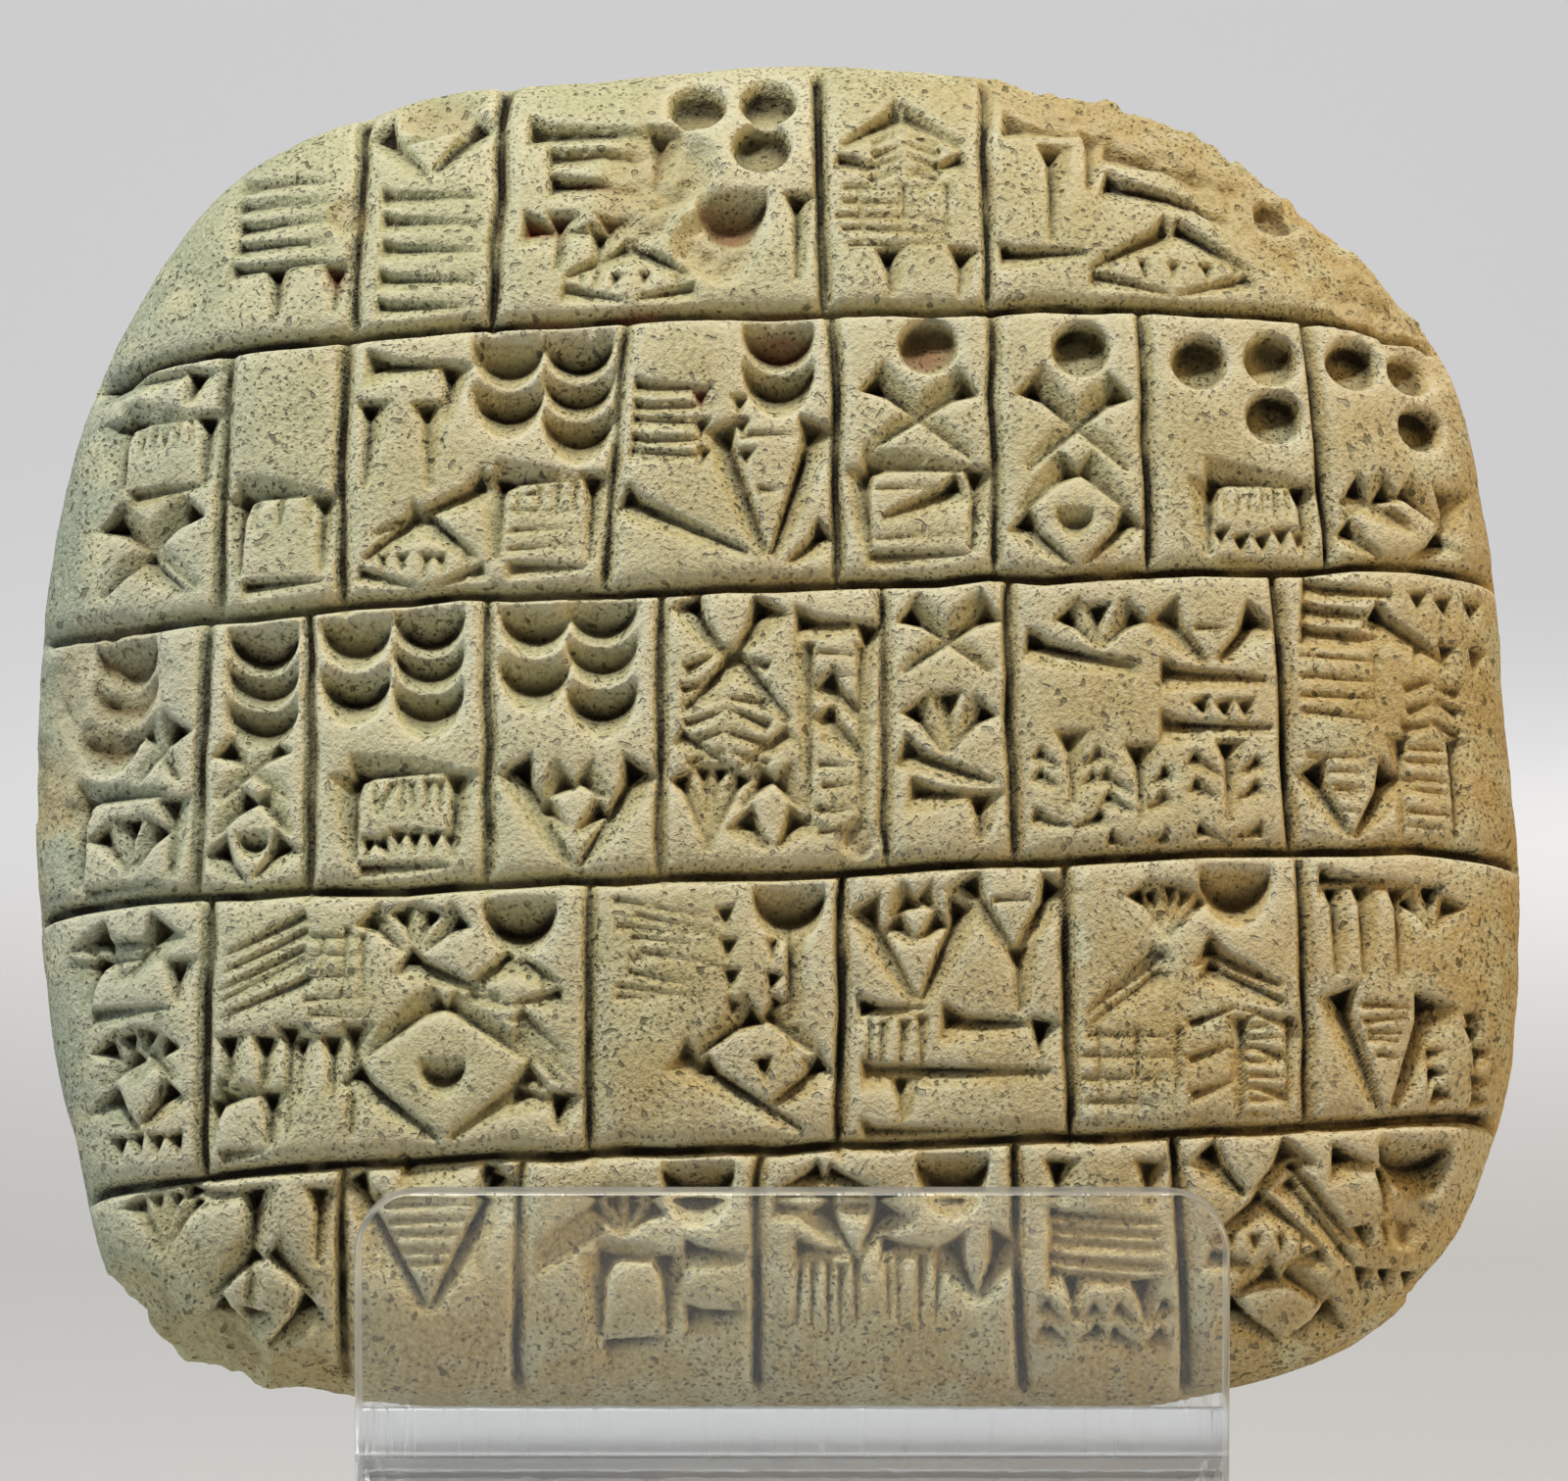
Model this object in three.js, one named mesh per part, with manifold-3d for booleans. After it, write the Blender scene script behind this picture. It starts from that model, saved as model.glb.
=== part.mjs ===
// Clay cuneiform tablet held upright by a cradle bent from one strip of clear acrylic.
// Millimetres, +Z up, the inscribed face towards -Y, origin at the middle of the footprint on the table.
import * as THREE from "three";
import { mergeVertices } from "three/addons/utils/BufferGeometryUtils.js";
import Module from "manifold-3d";

const wasm = await Module();
wasm.setup();

// ---- Driving dimensions: the tablet ----
const LEAN = THREE.MathUtils.degToRad(16); // how far the tablet and its backrest lean back
const CENTRE_HEIGHT = 53; // middle of the tablet above the table
// Plan outline of the rim: its distance from the middle, every 15 degrees from +X round by the top.
const RIM_RADII = [
  41.7, 42.2, 44.1, 43.7, 42.6, 39.9, 39.1, 39.5, 42.6, 45.1, 44.4, 43.1,
  42.6, 43.6, 46.5, 50.3, 44.9, 40.7, 39.4, 40.7, 44.9, 48.8, 47.1, 43.8,
];
const FRONT = { bulge: 10.5, power: 3, round: 1 / 2.2 }; // the inscribed face, in front of the rim
const BACK = { bulge: 12.5, power: 2.4, round: 1 / 2 }; // the back, a little fuller
const AROUND = 48; // facets round the rim
const RINGS = [0.25, 0.46, 0.64, 0.78, 0.88, 0.95, 0.987]; // facet rings, as shares of the way to the rim

// ---- Driving dimensions: the marks in the clay ----
const STATIONS = [-40, -20, 0, 20, 40]; // where the heights of each ruling are given
const RULINGS = [
  [19.8, 21.2, 22.1, 22.6, 22.3],
  [4.2, 5.1, 5.9, 6.6, 8.0],
  [-11.6, -11.4, -10.8, -9.6, -8.5],
  [-27.8, -26.8, -26.2, -25.5, -23.6],
];
// Upright dividers of each register, top register first: where each leaves its upper and meets its lower ruling.
const DIVIDERS = [
  [[-24.1, -24.3], [-15.9, -16.3], [2.2, 2.5], [11.8, 11.9]],
  [[-31.6, -31.9], [-24.8, -24.9], [-8.8, -9.9], [3.1, 3.3], [12.1, 12.3], [20.6, 21.1], [30.2, 31.4]],
  [[-32.6, -33], [-26.7, -26.5], [-16.5, -16.4], [-6.7, -6.7], [5.8, 6], [12.9, 13.3], [28.1, 28.9]],
  [[-32.3, -32.5], [-10.7, -10.6], [3.5, 3.3], [16, 16.3], [29.4, 29.7]],
  [[-24.4, -24.6], [-14.4, -14.7], [-1.2, -1.3], [13, 13.6], [22.1, 22.9]],
];
const UPPER_EDGE = 34.5; // where the dividers of the top register start
const LOWER_EDGE = -36.5; // where those of the bottom register end
const RULING = { halfWidth: 0.75, depth: 1.0 };
const DIVIDER = { halfWidth: 0.6, depth: 0.85 };
// Round marks of the upright stylus: x, height, radius.
const DOTS = [
  [-4.7, 35.6, 1.7], [-0.6, 35.8, 1.7], [-1, 32.6, 1.75], [29.2, 29.8, 1.35],
  [8.5, 20, 1.75], [17.2, 19.9, 1.7], [24, 19.3, 1.65], [28.2, 19.7, 1.65], [28.3, 16.2, 1.7],
  [33, 19.8, 1.65], [36.4, 19.7, 1.4], [36.9, 16.3, 1.4],
];
const DOT_DEPTH = 1.4;
// Crescents of the slanted round stylus, in upright columns: x, then the height of each.
const CRESCENTS = [
  [-2.7, 28.9], [-15.4, 20, 17.2], [-11.4, 20.2, 18, 15.6], [0, 20.8, 18.4],
  [-37.5, 3, 0.9], [-38.3, -1.6], [-29.3, 3.2, 1.2, -0.9], [-24, 3.6, 0.6], [-19.8, 4, 2, -0.3],
  [-13.8, 4.2, 1.2], [-10, 4.6, 2.4, -0.3], [-14.5, -12.9], [0.6, -12.1], [25.7, -10.9],
  [-4.5, -27.6], [9.7, -27.2], [35.9, -25.8],
];
const CRESCENT = { radius: 2.05, slant: THREE.MathUtils.degToRad(45), reach: 0.7, shaft: 6 };
const CLEARANCE = 1.2; // how far a mark's cutting shape stands out of the face
const RUN_OUT = 0.35; // depth of a ruling or divider at its ends, as a share of its full depth
// The longer strokes of the reed stylus: the deepest point is a share of the length from the head.
const WEDGE = { length: 5, halfWidth: 0.9, depth: 0.9, deepest: 0.18, raise: 0.8 };
const WRITTEN_SHARE = 0.86; // strokes keep within this share of the way to the rim
const SIDE_MARGIN = 38.5; // the outer ends of the cases beside the rim
const BAND = 6; // height of one line of wedges inside a case
const CASE_MARGIN = 1.2; // clay left plain beside a divider
// Broken places: x, height, distance out along the face's own normal, size.
const CHIPS = [
  [22, 36.5, 0.6, 3.2], [27.5, 34.6, 0.9, 3], [32.6, 30.6, 0.9, 3.1], [35.8, 26.6, 0.9, 2.6],
  [-6.8, 30.6, 1, 2.7], [-3.4, 26.2, 1, 2.1], [-19.5, 35.2, 0.7, 2], [-38.6, 1.4, 1.3, 2.6],
  [-32, -36.6, 0.8, 2.7], [-26.5, -37.6, 0.7, 2.4],
];
const CHIP_STRETCH = { across: 1.25, deep: 0.7 };

// ---- Driving dimensions: the cradle ----
const SHEET = 3; // acrylic sheet
const CRADLE_WIDTH = 48.6;
const CRADLE_OFFSET = 0.7; // the strip stands a little to the right of the tablet's middle
const BEND_RADIUS = 4.5; // middle of the sheet at a bend
const BEND_STEPS = 6;
const GAP = 0.3; // clearance between the clay and the acrylic
const LIP_TOP = 24.6; // top of the lip below the middle of the tablet
const LIP_INNER_FACE = 16.35; // in front of the middle of the tablet
const LIP_CORNER = 3.4; // radius of the two sawn corners at the top of the lip
const BACKREST_TOP = 12; // along the lean, from the middle of the tablet
const SHELF_REACH = 4.4; // how far the shelf's sawn end stands in front of the rim
const BASE_REACH = 36; // corner of the rear bend behind the middle of the tablet

// ---- Small helpers ----
function randomFrom(seed) {
  let state = seed;
  return () => {
    state = (state * 1103515245 + 12345) % 2147483648;
    return state / 2147483648;
  };
}

function solidOf(geometry) {
  const bare = geometry.clone();
  bare.deleteAttribute("normal");
  bare.deleteAttribute("uv");
  const merged = mergeVertices(bare, 1e-4);
  const mesh = new wasm.Mesh({
    numProp: 3,
    vertProperties: merged.attributes.position.array,
    triVerts: Uint32Array.from(merged.index.array),
  });
  return new wasm.Manifold(mesh);
}

function geometryOf(solid) {
  const mesh = solid.getMesh();
  const geometry = new THREE.BufferGeometry();
  geometry.setAttribute("position", new THREE.BufferAttribute(mesh.vertProperties, 3));
  geometry.setIndex(new THREE.BufferAttribute(mesh.triVerts, 1));
  geometry.computeVertexNormals();
  return geometry;
}

function closedMesh(points, faces) {
  const geometry = new THREE.BufferGeometry();
  const flat = points.flatMap((p) => [p.x, p.y, p.z]);
  geometry.setAttribute("position", new THREE.Float32BufferAttribute(flat, 3));
  geometry.setIndex(faces);
  return geometry;
}

// ---- The tablet's form ----
// In the tablet's own frame x runs across, z up the face, and -y out of the inscribed face.
function rimRadius(angle) {
  const count = RIM_RADII.length;
  const place = ((angle / (2 * Math.PI)) * count + count) % count;
  const first = Math.floor(place);
  const t = place - first;
  const [a, b, c, d] = [-1, 0, 1, 2].map((k) => RIM_RADII[(first + k + count) % count]);
  return 0.5 * (2 * b + (c - a) * t + (2 * a - 5 * b + 4 * c - d) * t * t
    + (3 * b - a - 3 * c + d) * t * t * t);
}

function bulgeAt(side, share) {
  return side.bulge * Math.max(0, 1 - share ** side.power) ** side.round;
}

function facePoint(x, z) {
  const share = Math.min(1, Math.hypot(x, z) / rimRadius(Math.atan2(z, x)));
  return new THREE.Vector3(x, -bulgeAt(FRONT, share), z);
}

function faceNormal(x, z) {
  const step = 0.3;
  const inward = 0.985; // keeps the samples off the rim, where the face turns edge-on
  const across = facePoint((x + step) * inward, z * inward).sub(facePoint((x - step) * inward, z * inward));
  const up = facePoint(x * inward, (z + step) * inward).sub(facePoint(x * inward, (z - step) * inward));
  return across.cross(up).normalize();
}

function blankTablet() {
  const rings = [
    ...RINGS.map((share) => ({ share, y: -bulgeAt(FRONT, share) })),
    { share: 1, y: 0 },
    ...RINGS.toReversed().map((share) => ({ share, y: bulgeAt(BACK, share) })),
  ];
  const points = rings.flatMap(({ share, y }) =>
    Array.from({ length: AROUND }, (_, k) => {
      const angle = (2 * Math.PI * k) / AROUND;
      const radius = share * rimRadius(angle);
      return new THREE.Vector3(radius * Math.cos(angle), y, radius * Math.sin(angle));
    }));
  const frontMiddle = points.push(new THREE.Vector3(0, -FRONT.bulge, 0)) - 1;
  const backMiddle = points.push(new THREE.Vector3(0, BACK.bulge, 0)) - 1;
  const faces = [];
  const lastRing = (rings.length - 1) * AROUND;
  for (let k = 0; k < AROUND; k += 1) {
    const next = (k + 1) % AROUND;
    faces.push(frontMiddle, k, next);
    faces.push(backMiddle, lastRing + next, lastRing + k);
    for (let ring = 0; ring < rings.length - 1; ring += 1) {
      const near = ring * AROUND;
      const far = near + AROUND;
      faces.push(near + k, far + k, far + next, near + k, far + next, near + next);
    }
  }
  return solidOf(closedMesh(points, faces));
}

// ---- Marks pressed into the face ----
// A V channel along points [x, z] of the face, running out at both ends.
function channel(line, { halfWidth, depth }) {
  const points = [];
  line.forEach(([x, z], index) => {
    const [before, after] = [line[Math.max(0, index - 1)], line[Math.min(line.length - 1, index + 1)]];
    const isEnd = index === 0 || index === line.length - 1;
    const normal = faceNormal(x, z);
    const along = facePoint(after[0], after[1]).sub(facePoint(before[0], before[1])).normalize();
    const side = along.clone().cross(normal).normalize();
    const middle = facePoint(x, z);
    const here = isEnd ? depth * RUN_OUT : depth;
    const spread = halfWidth * (1 + CLEARANCE / depth);
    points.push(middle.clone().addScaledVector(normal, -here));
    points.push(middle.clone().addScaledVector(normal, CLEARANCE).addScaledVector(side, spread));
    points.push(middle.clone().addScaledVector(normal, CLEARANCE).addScaledVector(side, -spread));
  });
  const faces = [0, 1, 2];
  for (let k = 0; k < line.length - 1; k += 1) {
    const [a, b] = [3 * k, 3 * k + 3];
    for (const [p, q] of [[0, 1], [1, 2], [2, 0]]) {
      faces.push(a + p, b + p, b + q, a + p, b + q, a + q);
    }
  }
  const end = points.length - 3;
  faces.push(end, end + 2, end + 1);
  const solid = solidOf(closedMesh(points, faces));
  return solid.volume() < 0 ? solidOf(closedMesh(points, faces.toReversed())) : solid;
}

function rulingHeight(heights, x) {
  const place = THREE.MathUtils.clamp((x - STATIONS[0]) / (STATIONS[1] - STATIONS[0]), 0, STATIONS.length - 1.001);
  const left = Math.floor(place);
  return THREE.MathUtils.lerp(heights[left], heights[left + 1], place - left);
}

function rulingLine(heights) {
  const reach = 41;
  const count = 11;
  return Array.from({ length: count }, (_, k) => {
    const x = -reach + (2 * reach * k) / (count - 1);
    return [x, rulingHeight(heights, x)];
  });
}

function dividerEnds(register, [upperX, lowerX]) {
  const upper = register === 0 ? UPPER_EDGE : rulingHeight(RULINGS[register - 1], upperX);
  const lower = register === RULINGS.length ? LOWER_EDGE : rulingHeight(RULINGS[register], lowerX);
  return [[upperX, upper], [lowerX, lower]];
}

function dividerLine(register, divider) {
  const [[x0, z0], [x1, z1]] = dividerEnds(register, divider);
  const steps = 3;
  return Array.from({ length: steps + 1 }, (_, k) => [
    THREE.MathUtils.lerp(x0, x1, k / steps),
    THREE.MathUtils.lerp(z0, z1, k / steps),
  ]);
}

// Turns a geometry made around the +Y axis so that +Y is the face's outward normal at (x, z).
function standOnFace(geometry, x, z, out = 0) {
  const normal = faceNormal(x, z);
  const turn = new THREE.Quaternion().setFromUnitVectors(new THREE.Vector3(0, 1, 0), normal);
  const place = facePoint(x, z).addScaledVector(normal, out);
  geometry.applyMatrix4(new THREE.Matrix4().compose(place, turn, new THREE.Vector3(1, 1, 1)));
  return solidOf(geometry);
}

function dot([x, z, radius]) {
  const bowl = [
    [0, -DOT_DEPTH], [0.62 * radius, -0.88 * DOT_DEPTH], [radius, 0],
    [1.25 * radius, CLEARANCE], [0, CLEARANCE],
  ];
  return standOnFace(new THREE.LatheGeometry(bowl.map((p) => new THREE.Vector2(...p)), 10), x, z);
}

function crescent(x, z) {
  const { radius, slant, reach, shaft: length } = CRESCENT;
  const shaft = new THREE.CylinderGeometry(radius, radius, length, 10, 1);
  shaft.rotateY(THREE.MathUtils.degToRad(10)); // keeps its facets off the ones of its neighbours
  shaft.translate(0, length / 2, 0);
  // The shaft leans towards the lower edge of the tablet, so its end digs in along the upper side.
  const axis = new THREE.Vector3(0, -Math.sin(slant), -Math.cos(slant));
  const turn = new THREE.Quaternion().setFromUnitVectors(new THREE.Vector3(0, 1, 0), axis);
  const end = facePoint(x, z).addScaledVector(axis, -reach);
  shaft.applyMatrix4(new THREE.Matrix4().compose(end, turn, new THREE.Vector3(1, 1, 1)));
  return solidOf(shaft);
}

// One reed stroke: a deep triangular head that tapers to a point. angle is the way its tail runs.
function wedge(x, z, angle, size) {
  const length = WEDGE.length * size;
  const along = [Math.cos(angle), Math.sin(angle)];
  const side = [-along[1], along[0]];
  const spot = (forward, sideways) => [
    x + along[0] * forward + side[0] * sideways,
    z + along[1] * forward + side[1] * sideways,
  ];
  const normal = faceNormal(x, z);
  const deep = facePoint(...spot(length * WEDGE.deepest, 0)).addScaledVector(normal, -WEDGE.depth * size);
  const rim = [spot(0, WEDGE.halfWidth * size), spot(0, -WEDGE.halfWidth * size), spot(length, 0)]
    .map(([px, pz]) => facePoint(px, pz))
    .map((point) => point.sub(deep).multiplyScalar(1 + WEDGE.raise / WEDGE.depth).add(deep));
  const points = [deep, ...rim];
  const faces = [0, 1, 2, 0, 2, 3, 0, 3, 1, 1, 3, 2];
  const solid = solidOf(closedMesh(points, faces));
  return solid.volume() < 0 ? solidOf(closedMesh(points, faces.toReversed())) : solid;
}

// A broken place: a rough lump of clay missing from the face.
function chip([x, z, out, size], index) {
  const random = randomFrom(71 + index);
  const lump = new THREE.IcosahedronGeometry(size, 1);
  lump.deleteAttribute("normal");
  lump.deleteAttribute("uv");
  const rough = mergeVertices(lump, 1e-4);
  const spots = rough.attributes.position;
  for (let k = 0; k < spots.count; k += 1) {
    const stretch = 0.8 + 0.4 * random();
    spots.setXYZ(
      k,
      spots.getX(k) * stretch * CHIP_STRETCH.across,
      spots.getY(k) * stretch * CHIP_STRETCH.deep,
      spots.getZ(k) * stretch,
    );
  }
  return standOnFace(rough, x, z, out);
}

// The clear space of every case, from its rulings and dividers.
function cases() {
  const all = [];
  DIVIDERS.forEach((dividers, register) => {
    const edges = [-SIDE_MARGIN, ...dividers.map(([a, b]) => (a + b) / 2), SIDE_MARGIN];
    for (let k = 0; k + 1 < edges.length; k += 1) {
      const [left, right] = [edges[k] + CASE_MARGIN, edges[k + 1] - CASE_MARGIN];
      const middle = (left + right) / 2;
      const top = register === 0 ? UPPER_EDGE : rulingHeight(RULINGS[register - 1], middle) - CASE_MARGIN;
      const bottom = register === RULINGS.length
        ? LOWER_EDGE + 2 : rulingHeight(RULINGS[register], middle) + CASE_MARGIN;
      all.push({ left, right, top, bottom });
    }
  });
  return all;
}

function touchesRoundMark(x, z, reach) {
  const near = (px, pz, radius) => Math.hypot(px - x, pz - z) < radius + reach;
  return DOTS.some(([px, pz, radius]) => near(px, pz, radius))
    || CRESCENTS.some(([px, ...heights]) => heights.some((pz) => near(px, pz, CRESCENT.radius)))
    || CHIPS.some(([px, pz, , size]) => near(px, pz, size * 0.6));
}

// Lines of strokes that fill a case: pairs, fans and bars in a free order that spells nothing.
function strokesIn(space, index) {
  const random = randomFrom(1009 + 37 * index);
  const strokes = [];
  const lines = Math.max(1, Math.round((space.top - space.bottom) / BAND));
  const places = Math.max(1, Math.round((space.right - space.left) / BAND));
  for (let line = 0; line < lines; line += 1) {
    for (let place = 0; place < places; place += 1) {
      const x = THREE.MathUtils.lerp(space.left, space.right, (place + 0.5) / places);
      const z = THREE.MathUtils.lerp(space.top, space.bottom, (line + 0.5) / lines);
      const size = 0.75 + 0.3 * random();
      const angle = [-Math.PI / 2, 0, -Math.PI / 4, (-3 * Math.PI) / 4][Math.floor(4 * random())];
      const half = (WEDGE.length * size) / 2;
      const [headX, headZ] = [x - Math.cos(angle) * half, z - Math.sin(angle) * half];
      if (touchesRoundMark(x, z, half)) continue;
      if (Math.hypot(x, z) > WRITTEN_SHARE * rimRadius(Math.atan2(z, x))) continue;
      strokes.push(wedge(headX, headZ, angle, size));
    }
  }
  return strokes;
}

function tabletSolid() {
  const marks = [
    ...RULINGS.map((heights) => channel(rulingLine(heights), RULING)),
    ...DIVIDERS.flatMap((dividers, register) =>
      dividers.map((divider) => channel(dividerLine(register, divider), DIVIDER))),
    ...DOTS.map(dot),
    ...CRESCENTS.flatMap(([x, ...heights]) => heights.map((z) => crescent(x, z))),
    ...CHIPS.map(chip),
    ...cases().flatMap(strokesIn),
  ];
  return marks.reduce((body, mark) => body.subtract(mark), blankTablet());
}

// ---- The cradle ----
// A place in the side view, (y, z), from its place across and along the leaning tablet.
function leaning(up, out) {
  const y = up * Math.sin(LEAN) - out * Math.cos(LEAN);
  const z = CENTRE_HEIGHT + up * Math.cos(LEAN) + out * Math.sin(LEAN);
  return new THREE.Vector2(y, z);
}

// The middle line of the strip with every inner corner rounded to BEND_RADIUS.
function bentLine(corners) {
  const line = [corners[0]];
  for (let k = 1; k < corners.length - 1; k += 1) {
    const back = corners[k - 1].clone().sub(corners[k]).normalize();
    const ahead = corners[k + 1].clone().sub(corners[k]).normalize();
    const half = Math.acos(back.dot(ahead)) / 2;
    const bisector = back.clone().add(ahead).normalize();
    const centre = corners[k].clone().addScaledVector(bisector, BEND_RADIUS / Math.sin(half));
    const start = corners[k].clone().addScaledVector(back, BEND_RADIUS / Math.tan(half)).sub(centre);
    const turn = Math.PI - 2 * half;
    const sense = Math.sign(back.cross(ahead)) * -1;
    for (let step = 0; step <= BEND_STEPS; step += 1) {
      const spoke = start.clone().rotateAround(new THREE.Vector2(), (sense * turn * step) / BEND_STEPS);
      line.push(spoke.add(centre));
    }
  }
  line.push(corners.at(-1));
  return line;
}

function stripOutline(line) {
  const sides = line.map((point, k) => {
    const before = line[Math.max(0, k - 1)];
    const after = line[Math.min(line.length - 1, k + 1)];
    const along = after.clone().sub(before).normalize();
    const across = new THREE.Vector2(-along.y, along.x).multiplyScalar(SHEET / 2);
    return [point.clone().add(across), point.clone().sub(across)];
  });
  return new THREE.Shape([...sides.map((s) => s[0]), ...sides.map((s) => s[1]).toReversed()]);
}

// Extrudes a side view (y, z) across x, centred on the cradle.
function acrossX(shape, width) {
  const geometry = new THREE.ExtrudeGeometry(shape, { depth: width, bevelEnabled: false });
  geometry.translate(0, 0, -width / 2);
  const toSide = new THREE.Matrix4().makeBasis(
    new THREE.Vector3(0, 1, 0), new THREE.Vector3(0, 0, 1), new THREE.Vector3(1, 0, 0));
  return geometry.applyMatrix4(toSide);
}

// What is sawn off a top corner of the lip to round it.
function lipCornerCut(side, top) {
  const edge = CRADLE_WIDTH / 2;
  const quarter = Array.from({ length: BEND_STEPS + 1 }, (_, k) => (k / BEND_STEPS) * (Math.PI / 2));
  const arc = quarter.map((angle) => new THREE.Vector2(
    side * (edge - LIP_CORNER + LIP_CORNER * Math.sin(angle)),
    top - LIP_CORNER + LIP_CORNER * Math.cos(angle)));
  const waste = [
    new THREE.Vector2(side * (edge + 1), top - LIP_CORNER),
    new THREE.Vector2(side * (edge + 1), top + 1),
    new THREE.Vector2(side * (edge - LIP_CORNER), top + 1),
  ];
  const geometry = new THREE.ExtrudeGeometry(new THREE.Shape([...arc, ...waste]), {
    depth: SHEET + 2,
    bevelEnabled: false,
  });
  geometry.rotateX(Math.PI / 2);
  geometry.translate(0, -LIP_INNER_FACE + 1, 0);
  return solidOf(geometry);
}

function cradleSolid() {
  const half = SHEET / 2;
  const lipY = -LIP_INNER_FACE - half;
  const lipTop = CENTRE_HEIGHT - LIP_TOP;
  const shelf = -Math.max(...[-15, 0, 15].map((turn) =>
    rimRadius(THREE.MathUtils.degToRad(270 + turn)) * Math.cos(THREE.MathUtils.degToRad(turn)))) - GAP - half;
  const backrest = -BACK.bulge - GAP - half;
  const middleLine = bentLine([
    new THREE.Vector2(lipY, lipTop),
    new THREE.Vector2(lipY, half),
    new THREE.Vector2(BASE_REACH, half),
    leaning(BACKREST_TOP, backrest),
    leaning(shelf, backrest),
    leaning(shelf, SHELF_REACH),
  ]);
  const strip = solidOf(acrossX(stripOutline(middleLine), CRADLE_WIDTH));
  return [-1, 1].reduce((solid, side) => solid.subtract(lipCornerCut(side, lipTop)), strip);
}

// ---- Materials and assembly ----
const clay = new THREE.MeshStandardMaterial({
  color: new THREE.Color(0.62, 0.55, 0.4), roughness: 0.95, metalness: 0, flatShading: true,
});
const clearAcrylic = new THREE.MeshStandardMaterial({
  color: new THREE.Color(0.9, 0.93, 0.95), roughness: 0.06, metalness: 0,
  transparent: true, opacity: 0.35, flatShading: true,
});

const tablet = new THREE.Mesh(geometryOf(tabletSolid()), clay);
tablet.name = "tablet";
tablet.position.z = CENTRE_HEIGHT;
tablet.rotation.x = -LEAN;

const cradle = new THREE.Mesh(geometryOf(cradleSolid()), clearAcrylic);
cradle.name = "cradle";
cradle.position.x = CRADLE_OFFSET;

// Both pieces move together so that the footprint's middle is the origin.
const display = new THREE.Group();
display.add(tablet, cradle);
const part = new THREE.Group();
part.add(display);
const extent = new THREE.Box3().setFromObject(part, true);
const middle = extent.getCenter(new THREE.Vector3());
display.position.set(-middle.x, -middle.y, -extent.min.z);

export default part;
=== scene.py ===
"""Looks of a clay cuneiform tablet standing in a cradle bent from clear acrylic strip.

The tablet's own frame is in millimetres: x across, z up the face, -y out of the inscribed face, with its
origin in the middle. The relief is drawn on a flat map of depths over (x, z), then pressed into the curved
face.
"""

import math

import bpy
import numpy as np
from mathutils import Matrix, Vector


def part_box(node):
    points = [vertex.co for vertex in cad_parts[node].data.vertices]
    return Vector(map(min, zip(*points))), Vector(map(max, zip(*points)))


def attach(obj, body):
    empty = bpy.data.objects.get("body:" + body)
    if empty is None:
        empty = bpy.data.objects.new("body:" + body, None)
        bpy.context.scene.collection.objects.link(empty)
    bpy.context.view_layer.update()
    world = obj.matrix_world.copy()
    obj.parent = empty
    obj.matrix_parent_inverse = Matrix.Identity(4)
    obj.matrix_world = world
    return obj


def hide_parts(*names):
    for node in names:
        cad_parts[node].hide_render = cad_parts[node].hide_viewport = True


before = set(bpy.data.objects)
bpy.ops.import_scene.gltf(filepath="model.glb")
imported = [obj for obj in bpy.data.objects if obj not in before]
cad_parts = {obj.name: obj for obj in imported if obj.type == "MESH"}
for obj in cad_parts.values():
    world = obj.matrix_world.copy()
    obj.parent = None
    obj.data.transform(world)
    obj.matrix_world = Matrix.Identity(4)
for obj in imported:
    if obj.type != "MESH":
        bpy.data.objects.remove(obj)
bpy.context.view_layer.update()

MM = 0.001

# ---- The tablet's form, as in the solid model ----
LEAN = math.radians(16)
RIM_RADII = np.array([
    41.7, 42.2, 44.1, 43.7, 42.6, 39.9, 39.1, 39.5, 42.6, 45.1, 44.4, 43.1,
    42.6, 43.6, 46.5, 50.3, 44.9, 40.7, 39.4, 40.7, 44.9, 48.8, 47.1, 43.8,
])
FRONT = {"bulge": 10.5, "power": 3.0, "round": 1 / 2.2}
BACK = {"bulge": 12.5, "power": 2.4, "round": 0.5}

# ---- The case lines and round marks, as in the solid model ----
STATIONS = [-40, -20, 0, 20, 40]
RULINGS = [
    [19.8, 21.2, 22.1, 22.6, 22.3],
    [4.2, 5.1, 5.9, 6.6, 8.0],
    [-11.6, -11.4, -10.8, -9.6, -8.5],
    [-27.8, -26.8, -26.2, -25.5, -23.6],
]
DIVIDERS = [
    [(-24.1, -24.3), (-15.9, -16.3), (2.2, 2.5), (11.8, 11.9)],
    [(-31.6, -31.9), (-24.8, -24.9), (-8.8, -9.9), (3.1, 3.3), (12.1, 12.3), (20.6, 21.1), (30.2, 31.4)],
    [(-32.6, -33), (-26.7, -26.5), (-16.5, -16.4), (-6.7, -6.7), (5.8, 6), (12.9, 13.3), (28.1, 28.9)],
    [(-32.3, -32.5), (-10.7, -10.6), (3.5, 3.3), (16, 16.3), (29.4, 29.7)],
    [(-24.4, -24.6), (-14.4, -14.7), (-1.2, -1.3), (13, 13.6), (22.1, 22.9)],
]
UPPER_EDGE = [37.5] * 5
LOWER_EDGE = [-38.5] * 5
DOTS = [
    (-4.7, 35.6, 1.7), (-0.6, 35.8, 1.7), (-1, 32.6, 1.75), (29.2, 29.8, 1.35), (8.5, 20, 1.75),
    (17.2, 19.9, 1.7), (24, 19.3, 1.65), (28.2, 19.7, 1.65), (28.3, 16.2, 1.7), (33, 19.8, 1.65),
    (36.4, 19.7, 1.4), (36.9, 16.3, 1.4),
]
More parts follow.
